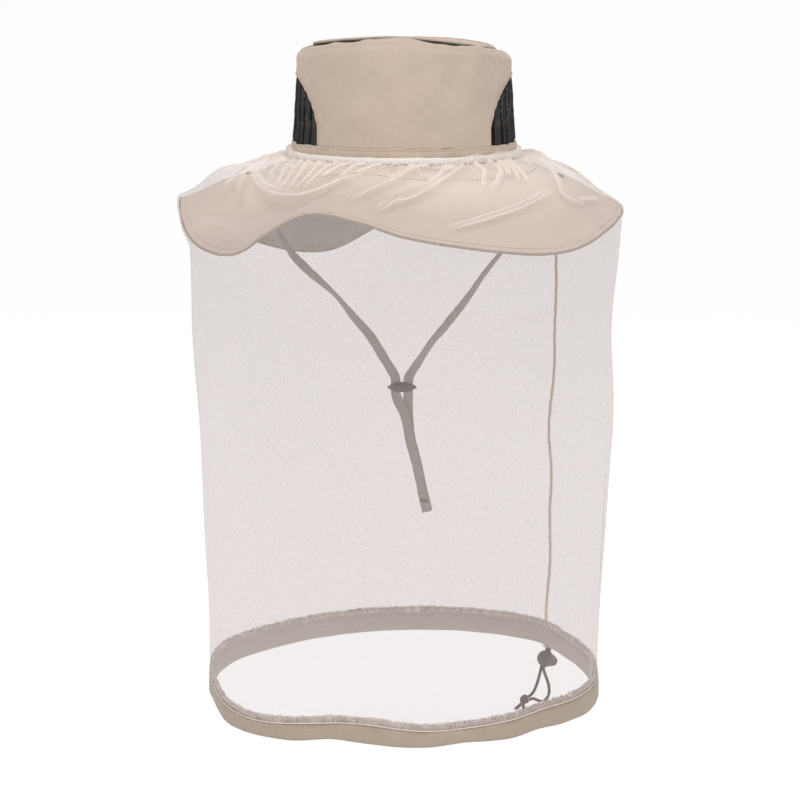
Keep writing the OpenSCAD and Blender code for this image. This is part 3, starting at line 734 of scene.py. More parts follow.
# The strands' routes from below the lock to the knot, as in the CAD source
LOWER_A = [(113, 106, -440.5), (110.5, 105.5, -449), (107.5, 105.5, -455), (104, 106, -458.5)]
LOWER_B = [
    (118.5, 104, -440), (121, 104.5, -448), (121, 104.5, -456), (117, 104.5, -461.5),
    (112.5, 104.5, -461), (108.5, 105, -459.5), (105, 105.5, -460.5),
]
KNOT_AT = np.array([101, 106, -460.5])


ring_t = np.linspace(EXIT_ANGLE + 2.2, EXIT_ANGLE + 357.8, 300)
# In front the cord lifts with the hem's lower edge
ring_level = CORD_LEVEL + np.maximum(HEM_LOW(ring_t), 0) * (np.abs(ring_t - 220) < 120)
ring_cord = tube("drawcord_ring", hem(ring_t, 0, ring_level), CORD_D / 2, 10)
finish_piece(ring_cord, cord_yarn, "drawcord", "hem_drawcord")
exit_out = np.array([math.cos(out_turn), math.sin(out_turn), 0])
exit_corners = [(2.2, -5), (2.2, 5), (-2.2, 5), (-2.2, -5), (2.2, -5)]
exit_middle = hem(EXIT_ANGLE, 0, -HEM_DROP - 0.4)
exit_rim = spread([exit_middle + x * exit_out + y * LOCK_SIDE for x, y in exit_corners], 0.5)
rim_piece = zigzag("exit_stitching", exit_rim, [0, 0, 1.0], [0, 0, 1.0], 0.7, 0.9, 0.28, 5)
finish_piece(rim_piece, thread_tan, "seam_thread", "cord_exit")

for side, tag, lower in ((1, "a", LOWER_A), (-1, "b", LOWER_B)):
    route = spread(through(upper_route(side), 10), 0.6)
    upper = tube(f"strand_upper_{tag}", route, CORD_D / 2 * 1.05, 12)
    finish_piece(upper, cord_yarn, "drawcord", f"drawcord_upper_{tag}", body=None)
    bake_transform(upper)
    s = strand_top(side)
    route = spread(through([s, s + 5 * LOCK_DOWN, s + 9 * LOCK_DOWN, *lower], 10), 0.6)
    thickness = CORD_D / 2 * (1 + 0.04 * np.sin(np.arange(len(route)) * 1.3))
    strand = tube(f"strand_lower_{tag}", route, thickness, 12)
    finish_piece(strand, cord_yarn, "drawcord", f"drawcord_lower_{tag}", body=None)
    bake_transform(strand)

# The overhand knot is one strand wound round on itself, with two cut ends below it.
turn = np.linspace(0, 2 * math.pi * 1.35, 60)
knot_u, knot_v = np.array([0.82, 0.57, 0.0]), np.array([-0.28, 0.40, 0.87])
knot_w = np.cross(knot_u, knot_v)
knot_line = KNOT_AT + np.outer(2.1 * np.cos(turn), knot_u) + np.outer(2.4 * np.sin(turn), knot_v)
knot_line = knot_line + np.outer(1.5 * np.sin(turn * 1.5), knot_w)
knot_parts = [tube("knot_loop", knot_line, 1.45, 12)]
for shift, route in (
    ((0, 0, 0), [(0.5, 0, 1.5), (-1, 0, -1.2), (-3, 0.3, -4.2), (-5.4, 0.2, -6.6), (-7.2, 0, -7.4)]),
    ((0, 0.5, 0), [(0, 0, 1.5), (-0.2, 0.3, -1.5), (-1, 0.6, -5), (-0.6, 0.4, -8), (-1.6, 0.2, -9.6)]),
):
    line = spread(through(np.array(route, float) + KNOT_AT + shift, 8), 0.5)
    knot_parts.append(tube("knot_end", line, CORD_D / 2 * np.linspace(1, 1.15, len(line)), 12))
draw = np.random.default_rng(11)
for end in ([-7.2, 0, -7.4], [-1.6, 0.7, -9.6]):
    for _ in range(9):
        aim = unit(np.array([-0.7, 0, -0.7]) + draw.normal(0, 0.45, 3))
        start = KNOT_AT + np.array(end) + draw.normal(0, 0.5, 3)
        knot_parts.append(tube("knot_fray", [start, start + aim * 0.9, start + aim * 1.6], 0.16, 5))
knot = merge("drawcord_knot_piece", knot_parts)
finish_piece(knot, cord_yarn, "drawcord", "drawcord_knot")

# The tapes' routes from the studs to the slider and on to their ends, as in the CAD source
LEFT_LEG = [
    (-125, 0, -23.9), (-118, 0, -20.75), (-112, 0, -18.15), (-108, 0, -17.9), (-105.5, 0, -21),
    (-104.5, 0, -27), (-103.3, 0, -34), (-100.6, 0, -45), (-95, 0, -60), (-86, 0, -74), (-76, 0, -85),
    (-65, 0, -95), (-54, 0, -105), (-46, 0, -114), (-38, 0, -124), (-30, 0, -133), (-24, 0, -141),
    (-18.5, 0, -150), (-12, 0, -161), (-7.2, 0, -169), (-6.3, 0, -174), (-6.3, 0, -178),
]
RIGHT_LEG = [
    (125, 0, -25.8), (118, 0, -22.4), (112, 0, -19.5), (107.8, 0, -19.1), (105, 0, -22.5),
    (102.8, 0, -29), (99.5, 0, -37.5), (95, 0, -46), (85, 0, -60), (72, 0, -76.5), (60, 0, -92),
    (52, 0, -104), (44, 0, -115), (36, 0, -125), (28.5, 0, -134.5), (22, 0, -142), (16, 0, -151),
    (9.5, 0, -161), (4.4, 0, -169), (3.3, 0, -174), (3.3, 0, -178),
]
LEFT_TAIL = [
    (-6.3, 0, -178), (-6.3, 0, -183), (-3.5, -0.9, -191), (0.5, -1.5, -199), (3, -1.5, -209),
    (4.5, -1.5, -219), (7.5, -1.5, -230), (10, -1.5, -240), (12.5, -1.5, -252), (15, -1.5, -264),
    (18, -1.5, -276),
]
RIGHT_TAIL = [
    (3.3, 0, -178), (3.3, 0, -183), (3.2, 0.6, -191), (3.4, 0.6, -199), (4.2, 0.6, -209),
    (5.4, 0.6, -219), (8.2, 0.6, -230), (10.7, 0.6, -240), (13.2, 0.6, -252), (15.7, 0.6, -264),
    (18.6, 0.6, -275),
]


def tape(name, route, twist, seed):
    """Flat woven tape along a route. twist gives the turn of its width at shares of its length."""
    line = spread(through(route, 10), 1.2)
    share = np.linspace(0, 1, len(line))
    along = unit(np.gradient(line, axis=0))
    side = unit(np.cross([0, 1.0, 0], along))
    up = np.cross(along, side)
    angle = np.radians(np.interp(share, *zip(*twist)))
    angle = np.convolve(np.pad(angle, 4, mode="edge"), np.ones(9) / 9, "valid")[:, None]
    wide = np.cos(angle) * side + np.sin(angle) * up
    draw = np.random.default_rng(seed)
    width = TAPE_W / 2 * (1 + 0.03 * ripple(share * 200, 0, 14, seed))
    piece = tube(name, line, width, 14, flat=TAPE_T / 2 + draw.uniform(0, 0.02), side=wide)
    return piece, line


STRAPS = [
    ("strap_left", LEFT_LEG, "chin_strap_left",
     [(0, 90), (0.12, 90), (0.2, 62), (0.34, 58), (0.42, 22), (0.5, 34), (0.6, 62), (0.68, 40), (0.8, 15),
      (1, 5)], 3),
    ("strap_right", RIGHT_LEG, "chin_strap_right",
     [(0, -90), (0.12, -90), (0.28, -66), (0.42, -60), (0.55, -50), (0.7, -30), (0.85, -45), (1, 0)], 4),
    ("tail_left", LEFT_TAIL, "chin_tail_left", [(0, 0), (0.5, 12), (0.8, 25), (1, 0)], 5),
    ("tail_right", RIGHT_TAIL, "chin_tail_right", [(0, 0), (0.5, 10), (0.8, 22), (1, 0)], 6),
]
for name, route, node, twist, seed in STRAPS:
    piece, line = tape(name, route, twist, seed)
    finish_piece(piece, tape_cloth, "strap_tape", node, body=None)
    tail = name.startswith("tail")
    if tail:
        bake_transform(piece)
    else:
        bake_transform(piece)

tack_line = [(12.6, -2.55, -266.3), (18.4, -2.55, -267.7)]
tack = zigzag("bar_tack", tack_line, [0.23, 0, 0.97], [0, -1.0, 0], 3.2, 0.75, 0.3, 8)
finish_piece(tack, tack_thread, "bar_tack", "chin_tail_stitch")


# ---- Crown ----


GROOVE = 43  # how far round the shoulder the topstitch runs, in degrees
VENT_POWER = 2.2  # how square the arch of a vent is


def panel(name, start, seed):
    """Front or back panel: straight wall between the arched vents, a rounded shoulder and a
    topstitched top edge."""
    theta = np.linspace(90, 0, 46)
    arch = VENT_ANGLE * np.maximum(cosd(theta), 0) ** (2 / VENT_POWER)
    low = BAND_H + GAP + (VENT_TOP - BAND_H - GAP) * np.maximum(sind(theta), 0) ** (2 / VENT_POWER)
    middle = np.linspace(VENT_ANGLE, 180 - VENT_ANGLE, 112)[1:-1]
    t = start + np.concatenate([arch, middle, 180 - arch[::-1]])
    low = np.concatenate([low, np.full(len(middle), BAND_H - 1.2), low[::-1]])
    bend = wall_top(t) - SHOULDER_R - EDGE_DROP(t) * 0.5
    top = wall_top(t) - EDGE_DROP(t)
    rows = []
    for f in np.linspace(0, 1, 30):
        z = low + f * (bend - low)
        rows.append((CROWN_LEAN * z / bend, z, np.zeros(len(t))))
    for a in np.linspace(0, 88, 17)[1:]:
        inset = np.full(len(t), CROWN_LEAN + SHOULDER_R * (1 - cosd(a)))
        rows.append((inset, bend + (top - bend) * sind(a), np.full(len(t), a)))
    inset, z, bent = (np.stack(row, 1) for row in zip(*rows))
    tt = np.repeat(t[:, None], inset.shape[1], 1)
    run = (tt - start) * CROWN_MM
    wobble = 0.55 * ripple(run, z, 46, seed) + 0.22 * ripple(run, z, 15, seed + 1)
    out = wobble * smoothstep(0, 14, z - low[:, None])
    # Puckers above the band and beside the vents, and small creases at the shoulders
    out += 0.32 * np.exp(-((z - low[:, None]) / 5.5)) * np.sin(run * 1.15 + 2 * ripple(run, 0, 30, seed + 2))
    creased = bell(tt - start, 146, 15) + 0.6 * bell(tt - start, 22, 11)
    crease = bell(z - bend[:, None], -1, 7) * creased
    out += 0.7 * crease * np.sin(run * 0.55 + z * 0.5)
    # The topstitch under the top edge draws the cloth in, and the edge above it stands proud
    groove = bell(bent, GROOVE, 5.5)
    lip = smoothstep(47, 64, bent) * (1 - smoothstep(76, 90, bent))
    lens = bell(tt - start, 88, 17)
    out += -0.55 * groove * (1 + 0.35 * np.sin(run * 1.3)) + lip * (0.35 + 1.0 * lens)
    p = head(tt, -inset + out * cosd(bent), z + out * sind(bent))
    return grid(name, p), p, int(np.argmin(np.abs(bent[0] - GROOVE)))


front, front_p, groove_row = panel("front_panel", 180, 21)
back, back_p, _ = panel("back_panel", 0, 31)
for piece, node in ((front, "crown_front_panel"), (back, "crown_back_panel")):
    thicken(piece, CLOTH)
    finish_piece(piece, crown_cloth, "crown_fabric", node)

rows_of_stitches = []
for p in (front_p, back_p):
    n = len(p)
    edge_out = unit(np.stack([p[:, 0, 0], p[:, 0, 1], np.zeros(n)], -1))
    # Seams beside the vents and the topstitch under the top edge
    for part in (slice(1, 46), slice(n - 46, n - 1)):
        line = p[part, 2] + edge_out[part] * 0.25
        rows_of_stitches.append(stitches(line, edge_out[part], 2.3, 1.6, 0.55))
    line = p[:, groove_row]
    up = unit(edge_out + np.array([0, 0, 1.0]))
    rows_of_stitches.append(stitches(line + up * 0.1, up, 2.8, 1.9, 0.4))
finish_piece(merge("crown_topstitch", rows_of_stitches), thread_tan, "seam_thread")

# Folded edge of the panels beside the vents
edges = []
for p in (front_p, back_p):
    n = len(p)
    for part in (slice(0, 46), slice(n - 46, n)):
        edges.append(tube("vent_edge", spread(p[part, 0], 1.0), 0.62, 6))
finish_piece(merge("vent_edge_piping", edges), crown_cloth, "crown_fabric")


def vent(name, middle, node, seed):
    """A pleated mesh panel behind the arch at one side of the crown."""
    a = np.linspace(-1, 1, 97)
    a = np.sign(a) * np.sin(np.abs(a) * math.pi / 2) * (VENT_ANGLE + 0.6)
    share = np.minimum(np.abs(a) / VENT_ANGLE, 1)
    arch = np.maximum(1 - share**VENT_POWER, 0) ** (1 / VENT_POWER)
    high = BAND_H + GAP + (VENT_TOP + 0.4 - BAND_H - GAP) * arch
    f = np.linspace(0, 1, 26)[None]
    t = middle + a
    z = (BAND_H - 2) + f * (high[:, None] - BAND_H + 2)
    bend = (wall_top(t) - SHOULDER_R)[:, None]
    run = np.repeat((a * 1.5)[:, None], f.shape[1], 1)
    hold = np.minimum(1, (high[:, None] - z) / 8) * smoothstep(0, 5, z - BAND_H + 2.5)
    pleats = np.sin(run * 0.58 + 1.5 * ripple(run, 0, 24, seed)) ** 3
    swing = np.maximum(pleats, -0.35) * hold * (1.3 - 0.6 * z / 70)
    swing = swing + 0.25 * hold * ripple(run, z, 16, seed + 1)
    out = -0.55 - CROWN_LEAN * z / bend + swing
    piece = grid(name, head(np.repeat(t[:, None], f.shape[1], 1), out, z))
    # painted shade in the pleats' valleys, which the mesh's material darkens
    attribute(piece, "painted_pleat_shade", np.clip(-1.8 * pleats * np.minimum(1, hold * 3), 0, 1))
    finish_piece(piece, black_mesh, "vent_mesh", node)


vent("vent_left", 180, "side_vent_left", 41)
vent("vent_right", 0, "side_vent_right", 43)

# Mesh gusset between the wall and the top, and the top with its rolled rim
t = turns(240)
f = np.linspace(0, 1, 7)[None]
start_z = (wall_top(t) - EDGE_DROP(t) - 1.2)[:, None]
rim_z = (rim_level(t) - RIM_DROP(t))[:, None]
gusset_out = -13.2 + f * (13.2 - RIM_INSET)
gusset_z = start_z + f * (rim_z - start_z - 0.5)
gusset_z = gusset_z - 1.2 * np.sin(math.pi * f) + 0.25 * ripple(t[:, None] * 1.5, f, 9, 51)
gusset = grid("top_gusset", head(t[:, None], gusset_out, gusset_z), wrap_u=True)
finish_piece(gusset, black_mesh, "vent_mesh", "crown_top_vent")

rings = np.linspace(1, 0, 26)[None] ** 0.8
top_level = CROWN_H + 7.6
rim = head(t[:, None], -RIM_INSET, 0)
z = rings**2 * rim_z + (1 - rings**2) * (top_level - 1.6 * smoothstep(-60, 80, rim[..., 0] * rings))
z = z + (1 - rings) * 0.5 * ripple(rim[..., 0] * rings, rim[..., 1] * rings, 60, 53)
top_points = np.stack([rim[..., 0] * rings, rim[..., 1] * rings, z], -1)
top = grid("top_panel", top_points, wrap_u=True, plan=True)
thicken(top, CLOTH)
finish_piece(top, crown_cloth, "crown_fabric", "crown_top_panel")
rim_line = top_points[:, 0] + np.array([0, 0, -0.3])
piping = tube("top_rim_piping", rim_line, 1.05, 10, closed=True)
finish_piece(piping, crown_cloth, "crown_fabric")
line = np.concatenate([top_points[:, 2], top_points[:1, 2]]) + [0, 0, 0.05]
rim_rows = stitches(line, np.array([0, 0, 1.0]), 2.8, 1.9, 0.4, "top_rim_stitch")
finish_piece(rim_rows, thread_tan, "seam_thread")

# Band with its topstitch and puckers
t = turns(560)
z = np.array([-0.6, -0.2, 0.6, 2.2, 4.0, 5.6, 7.0, 8.2, 9.1, 9.7, 10.3, 10.9, 11.3, 11.3])[None]
out = np.array([-1.6, -0.5, 0.1, 0.25, 0.3, 0.45, 0.6, 0.6, 0.45, 0.15, 0.35, 0.3, 0.05, -0.7])[None]
run = t[:, None] * 1.62
pucker = bell(z, 9.7, 2.6)
drape = 0.35 * ripple(run, z, 24, 61) + 0.34 * pucker * np.sin(run * 1.5 + 1.5 * ripple(run, 0, 12, 62))
wave = 0.5 * ripple(run, 0, 30, 63) * smoothstep(3, 0, z)
wave = wave + 0.45 * ripple(run, 0, 18, 64) * smoothstep(8, 11, z)
band_points = head(t[:, None], out + drape * smoothstep(-0.6, 1, z), z + wave)
band = grid("band", band_points, wrap_u=True)
thicken(band, CLOTH * 0.6)
finish_piece(band, band_cloth, "crown_fabric", "crown_band")
line = np.concatenate([band_points[:, 9], band_points[:1, 9]])
outward = unit(line * [1, 1, 0])
band_rows = stitches(line + outward * 0.12, outward, 2.5, 1.7, 0.42, "band_topstitch")
finish_piece(band_rows, stitch_dark, "seam_thread")

# Sweatband: up its outer side and down its inner side
z = np.array([0.6, 6, 12, 18, 24, 24.3, 24, 18, 12, 6, 0.6])[None]
lean = 1.35 * z / 24
thick = np.array([0, 0, 0, 0, 0, 0.5, 1, 1, 1, 1, 1])[None]
t = turns(180)[:, None]
sweat_out = -2.2 - lean - thick + 0.12 * ripple(t * CROWN_MM, z, 14, 71)
sweat = grid("sweatband_piece", head(t, sweat_out, z), wrap_u=True)
finish_piece(sweat, sweat_cloth, "sweatband", "sweatband")


# ---- Brim ----


ROOT_R = 92  # about the radius of the brim's root, for ripples that run in plan


def in_plan(t, s):
    return (ROOT_R + s) * cosd(t), (ROOT_R + s) * sind(t)


def brim_surface(t, s, lift):
    """The brim, a little cupped between its edges."""
    cup = 0.9 * np.sin(math.pi * np.clip(s / BRIM_W, 0, 1)) * ripple(*in_plan(t, s), 120, 81)
    return brim_point(BRIM_LOBES, t, s, lift + cup + 0.5 * tent(t % 360, s)) + edge_curl(t, s)


t = turns(360)[:, None]
s = np.linspace(-0.8, BRIM_END, 44)[None]
ripples = 0.25 * ripple(*in_plan(t, s), 22, 83)
upper = grid("brim_top", brim_surface(t, s, -0.25 + ripples), wrap_u=True, plan=True, flip=True)
thicken(upper, 0.7)
finish_piece(upper, lit_brim_cloth, "brim_fabric", "brim_upper", "brim_interlining")
# The brim thins towards its bound edge
lower_lift = -BRIM_DEPTH + 0.2 + 1.4 * smoothstep(68, 91, s)
lower = grid("brim_underside", brim_surface(t, s, lower_lift + ripples), wrap_u=True, plan=True)
thicken(lower, 0.7)
finish_piece(lower, shaded_under_cloth, "brim_fabric", "brim_lower")
binding = tube("brim_binding", brim_surface(turns(540), BRIM_END, -0.95), 0.95, 12, closed=True)
finish_piece(binding, bind_cloth, "binding", "brim_edge_binding")
line_t = np.linspace(0, 360, 900)
for name, material, reach, under_lift, length, width in (
    ("brim_inner_rows", stitch_grey, 17.0, -3.2, 2.6, 0.65),
    ("brim_outer_rows", stitch_dark, BRIM_W - 5.5, -1.95, 2.3, 0.4),
):
    rows = []
    for lift, facing in ((-0.05, 1), (under_lift, -1)):
        line = brim_surface(line_t, reach, lift)
        slope = unit(line - brim_surface(line_t, reach - 1, lift))
        up = np.cross(slope, unit(np.gradient(line, axis=0)))
        rows.append(stitches(line, up * np.sign(up[:, 2:3]) * facing, 3.2, length, width))
    finish_piece(merge(name, rows), material, "seam_thread")

# Elastic: ribbed, slightly wavy
t = turns(720)[:, None]
z = np.array([0.4, 0.2, 0.5, 1.6, 2.7, 3.8, 4.7, 5.0, 4.8])[None]
out = np.array([0.3, 0.9, 1.5, 1.55, 1.6, 1.55, 1.5, 0.9, 0.3])[None]
z = z + 0.22 * ripple(t * 1.62, 0, 16, 91)
elastic = grid("elastic_strip", head(t, out + 0.12 * sind(t * 130), z), wrap_u=True)
finish_piece(elastic, elastic_cloth, "elastic", "veil_elastic")


# ---- Net ----

NET_U = 1130.0  # the width of the net laid flat, seam to seam
COLUMNS = 840
FRILL_ROWS, TOP_ROWS, BODY_ROWS = 6, 78, 32
# The net's columns stand closer together over the front than at the back
net_t = turns(COLUMNS)
net_t = net_t + 18.9 * sind(net_t - 90)
# The net over the brim: distance from the brim's root, and how far it is held up off the brim
TOP_PROFILE = [
    (2.4, 0.7), (4.5, 1.9), (9, 3.4), (20, 5.2), (50, 4.2), (78, 2.6), (89, 1.9), (93.8, 0.9), (95.2, -1.2),
    (NET_BEND, NET_BEND_LIFT),
]

# How far the net falls in from a straight line at the two sides
SIDE_SAG = round_curve(
    [(0, 1), (60, 1), (120, 1), (150, 1.5), (172, 6.5), (186, 7), (200, 4.5), (222, 1), (260, 0), (320, 0.5)]
)


def net_body(t, f):
    """Net between the brim's edge at f = 0 and the hem at f = 1."""
    top = brim_point(NET_LOBES, t, NET_BEND, NET_BEND_LIFT) + edge_curl(t, NET_BEND)
    low = hem(t, 1.5, CASING_TOP - 1.0 + HEM_HIGH(t))
    n = unit(np.stack([cosd(t) / HEM_RX, sind(t) / HEM_RY, 0 * t], -1))
    sag = SIDE_SAG(t) * (1 - np.exp(-f / 0.035)) * (1 - f) ** 0.75
    height = (top - low)[..., 2]
    wave = 0
    draw = np.random.default_rng(101)
    for _ in range(40):
        at, wide = draw.uniform(0, 360), draw.uniform(1.6, 4.5)
        tall, drift = draw.uniform(0.8, 3.0), draw.uniform(-9, 9)
        start, end = draw.uniform(-0.3, 0.35), draw.uniform(0.5, 1.2)
        gap_t = (t - at - drift * f + 180) % 360 - 180
        lasting = smoothstep(start, start + 0.25, f) * (1 - smoothstep(end - 0.3, end, f))
        wave = wave + tall * bell(gap_t, 0, wide) * lasting
    front_calm = 1 - 0.75 * bell(t % 360, 268, 48) - 0.6 * bell(t, 90, 40)
    x, y = HEM_RX * cosd(t) + f * height * 0.5, HEM_RY * sind(t) - f * height * 0.8
    wave = (wave * 0.8 + 1.3 * ripple(x, y, 150, 103)) * np.sin(math.pi * np.clip(f, 0, 1)) ** 0.35
    return top + f[..., None] * (low - top) + (wave * front_calm - sag)[..., None] * n


profile = through([(s, lift, 0) for s, lift in TOP_PROFILE], 24)
profile_length = walk(profile)
profile_at = np.linspace(0, profile_length[-1], TOP_ROWS)
prof_s, prof_lift = (np.interp(profile_at, profile_length, profile[:, k]) for k in (0, 1))


def net_at(t, s):
    """Point of the smooth net over the brim."""
    lift = np.interp(s, prof_s, prof_lift) + tent(t % 360, s)
    return brim_point(NET_LOBES, t, s, lift) + edge_curl(t, s)


frill_f = np.linspace(1, 0, FRILL_ROWS, endpoint=False)[None]
tt = net_t[:, None]
frill = head(tt, 2.6 + 0.5 * (1 - frill_f), 0.6 + frill_f * (FRILL_TOP(tt) - 0.6))
top_part = net_at(tt, prof_s[None])
fall_f = np.linspace(0, 1, BODY_ROWS + 1)[None, 1:] ** 1.25
body_part = net_body(np.repeat(tt, BODY_ROWS, 1), np.repeat(fall_f, COLUMNS, 0))
base = np.concatenate([frill, top_part, body_part], 1)
# Distance of each row from the elastic, and from the net's own upper edge
row_s = np.concatenate([np.linspace(-6, 0, FRILL_ROWS), prof_s, 100 + 400 * fall_f[0]])

beside = np.roll(base, -1, 0) - np.roll(base, 1, 0)
around = unit(beside)
normal = -unit(np.cross(beside, np.gradient(base, axis=1)))
outward = unit(base * [1, 1, 0])
normal = normal * np.sign((normal * (outward + [0, 0, 1.0])).sum(-1, keepdims=True))
shift = np.zeros_like(base)
folded = np.zeros(base.shape[:2])

# Fine gathers that start at the elastic and fade out over the brim
run = net_t[:, None]
draw = np.random.default_rng(7)
ring_x, ring_y = in_plan(run, 0)
phase = 104 * np.radians(run) + 1.9 * ripple(ring_x, ring_y, 26, 111)
phase = phase + 1.2 * ripple(ring_x + row_s, ring_y, 30, 112)
strength = 0.75 + 0.35 * ripple(ring_x, ring_y, 40, 113)
fade = np.exp(-np.clip(row_s, 0, None) / 7.0)[None]
pleat = np.sin(phase)
shift += normal * (np.where(row_s < 0, 1.3, 0.9) * strength * fade * pleat)[..., None]
shift += around * (0.6 * strength * fade * np.cos(phase + 0.7))[..., None]

# Narrow pleats from the elastic out over the brim, each with a line along both its sides that is denser and
# painted paler, as painted light
per_degree = np.linalg.norm(np.roll(base, -1, 0) - base, axis=-1).sum(0) / 360
at = -20.0
while at < 338:
    lean = draw.uniform(-5, 3) - 6 * smoothstep(265, 225, at % 360)
    wide, reach = draw.uniform(0.9, 1.9), draw.uniform(10, 34)
    high, paleness = draw.uniform(0.9, 2.0), draw.uniform(0.3, 0.9)
    off = ((run - at - lean * row_s / 30 + 180) % 360 - 180) * per_degree
    env = smoothstep(-7, -1, row_s) * (1 - smoothstep(0.35 * reach, reach, row_s))
    crest = bell(off, 0, wide) * env
    sides = bell(np.abs(off), 1.2 * wide, 0.42) * env
    shift += normal * (high * crest)[..., None]
    folded = np.maximum(folded, paleness * np.maximum(0.3 * crest, sides))
    at += draw.uniform(1.8, 4.2)


def fold(route, width, lateral, height, taper, dense):
    """Lays a fold over the net along a route of angle and distance from the elastic: the cloth
    rises and is drawn in from both sides. taper is the share of its length that each end fades
    over, and dense how much denser the folded cloth is and how much paler it is painted, as painted light."""
    line = through([(t, s, 0) for t, s in route], 14)
    c = spread(net_at(line[:, 0], line[:, 1]), 1.0)
    m = len(c)
    share = np.linspace(0, 1, m)
    along = unit(np.gradient(c, axis=0))
    width = np.atleast_1d(width)
    wide = np.interp(share, np.linspace(0, 1, len(width)), width)
    env = smoothstep(0, taper[0], share) * smoothstep(0, taper[1], 1 - share)
    reach = 3.2 * wide.max()
    low, high = c.min(0) - reach, c.max(0) + reach
    inside = np.where(((base > low) & (base < high)).all(-1))
    q = base[inside]
    qn = normal[inside]
    best = np.full(len(q), 1e9)
    index = np.zeros(len(q), int)
    for k in range(m):
        d = ((q - c[k]) ** 2).sum(-1)
        closer = d < best
        best[closer], index[closer] = d[closer], k
    a = along[index]
    side = unit(np.cross(qn, a))
    x = ((q - c[index]) * side).sum(-1)
    held = env[index] * bell(((q - c[index]) * a).sum(-1), 0, 2.5)
    wide = wide[index]
    xi = x / wide
    lateral = np.minimum(lateral, 0.22 * wide)
    raised = np.exp(-(xi**2) / 2) * held
    shift[inside] += side * (-lateral * x * raised)[:, None] + qn * (height * raised)[:, None]
    # The denser, painted pale lips of light beside a fold are wider where it runs round the brim than where
    # it runs out
    lip = 0.6 + 0.6 * (1 - min(1, abs(route[-1][1] - route[0][1]) / m))
    lips = bell(np.abs(xi) * wide, 1.05 * wide, lip)
    crest = np.maximum(0.5 * np.exp(-((xi / 1.15) ** 4)), lips) * held
    folded[inside] = np.maximum(folded[inside], dense * crest)


# Each fold's route, width, sideways pull, height and taper
FOLDS = [
    # over the left front: a peak above the stud, its streak and the long swag below the elastic
    ([(186, 24), (188, 33), (191, 40), (197, 48), (201, 58)], (2.6, 1.8), 1.7, 4.0, (0.1, 0.4)),
    ([(184, 27), (190, 29), (197, 31), (209, 35), (220, 41), (230, 49), (238, 58), (243, 63), (247, 58),
      (250, 44), (255, 26), (260, 16)], (2.6, 3.4, 3.4, 2.4), 1.75, 3.2, (0.1, 0.2)),
    ([(206, 3), (211, 16), (219, 36)], 1.7, 1.6, 2.0, (0.05, 0.3)),
    ([(213, 3), (219, 18), (226, 43)], 1.5, 1.6, 2.2, (0.05, 0.3)),
    ([(221, 4), (226, 22), (232, 48)], 1.6, 1.6, 2.0, (0.05, 0.3)),
    ([(229, 4), (233, 24), (237, 56)], 1.5, 1.7, 2.2, (0.05, 0.3)),
    ([(239, 4), (238, 24), (240, 58)], 1.7, 1.7, 2.4, (0.05, 0.3)),
    ([(246, 4), (243, 20), (241, 36)], 1.5, 1.6, 2.0, (0.05, 0.3)),
    ([(252, 4), (250, 20), (249, 44)], 1.7, 1.7, 2.2, (0.05, 0.3)),
    ([(259, 4), (256, 18), (253, 34)], 1.4, 1.6, 2.0, (0.05, 0.3)),
    # long slanting folds over the middle
    ([(274, 4), (270, 18), (262.5, 40), (258, 62), (254, 84)], (3.2, 2.4, 1.6), 1.8, 3.2, (0.05, 0.4)),
    ([(278, 26), (270.5, 48), (266, 64), (261, 86)], (1.4, 2.6, 1.6), 1.7, 3.0, (0.2, 0.4)),
    ([(299, 3), (294, 8), (281.5, 26), (268.5, 56), (260, 76)], (6.5, 5.2, 3.6, 2.0), 2.1, 3.4, (0.05, 0.3)),
    ([(282, 3), (276, 8), (268, 25), (262, 42)], (2.2, 1.6), 1.6, 2.2, (0.05, 0.4)),
    ([(288, 3), (285, 12), (277, 28)], 1.8, 1.6, 2.4, (0.05, 0.4)),
    # the bunch at the right front
    ([(304, 3), (306, 10), (302, 22), (298, 34)], 1.8, 1.7, 2.6, (0.05, 0.4)),
    ([(311, 3), (316, 8), (313, 16), (302, 33)], 2.0, 1.8, 3.0, (0.05, 0.35)),
    ([(320, 3), (319, 12), (315, 22)], 1.7, 1.7, 2.6, (0.05, 0.35)),
    ([(325, 3), (323, 14), (318.5, 28)], 1.8, 1.7, 2.4, (0.05, 0.35)),
    ([(329, 3), (326, 14), (324, 31)], 1.7, 1.7, 2.4, (0.05, 0.35)),
    # the long S-shaped fold at the right, its branches, and the streak behind it
    ([(374, 5), (366, 14), (357, 20), (350, 27), (342, 37), (335, 48), (335, 56), (338, 62), (343.5, 75)],
     (4.4, 4.0, 3.0, 1.8, 1.5), 2.0, 3.4, (0.06, 0.25)),
    ([(336, 57), (342, 61), (349, 67), (354, 76)], 1.5, 1.5, 1.8, (0.2, 0.5)),
    ([(374, 12), (366, 25), (360.5, 37), (357.5, 52), (355, 86)], (4.2, 4.4, 2.2), 1.9, 2.8, (0.1, 0.3)),
    ([(274, 90), (284, 73), (297.5, 58), (310.5, 49), (323.5, 43), (334, 43)],
     (2.0, 2.8, 2.2), 1.5, 2.6, (0.3, 0.15)),
    # soft ones at the left
    ([(182, 90), (192, 83), (205, 75), (218, 81), (233, 92)], (4.0, 5.0, 4.0), 1.0, 1.8, (0.3, 0.3)),
    ([(189, 36), (189.5, 58)], 1.4, 1.5, 1.6, (0.2, 0.4)),
    ([(190, 12), (186, 19), (186, 27)], 1.6, 1.7, 2.4, (0.2, 0.3)),
    ([(196, 5), (192, 14), (195, 26)], 1.8, 1.7, 2.4, (0.1, 0.3)),
    ([(202, 4), (200, 14), (206, 28)], 1.7, 1.7, 2.4, (0.1, 0.3)),
]
for route, width, lateral, height, taper in FOLDS:
    if np.max(width) < 2.3:
        width, taper = np.array(width) * 0.76, (taper[0], taper[1] * 0.7)
    fold(route, width, lateral, height, taper, 0.45 if lateral <= 1 else 1.0)

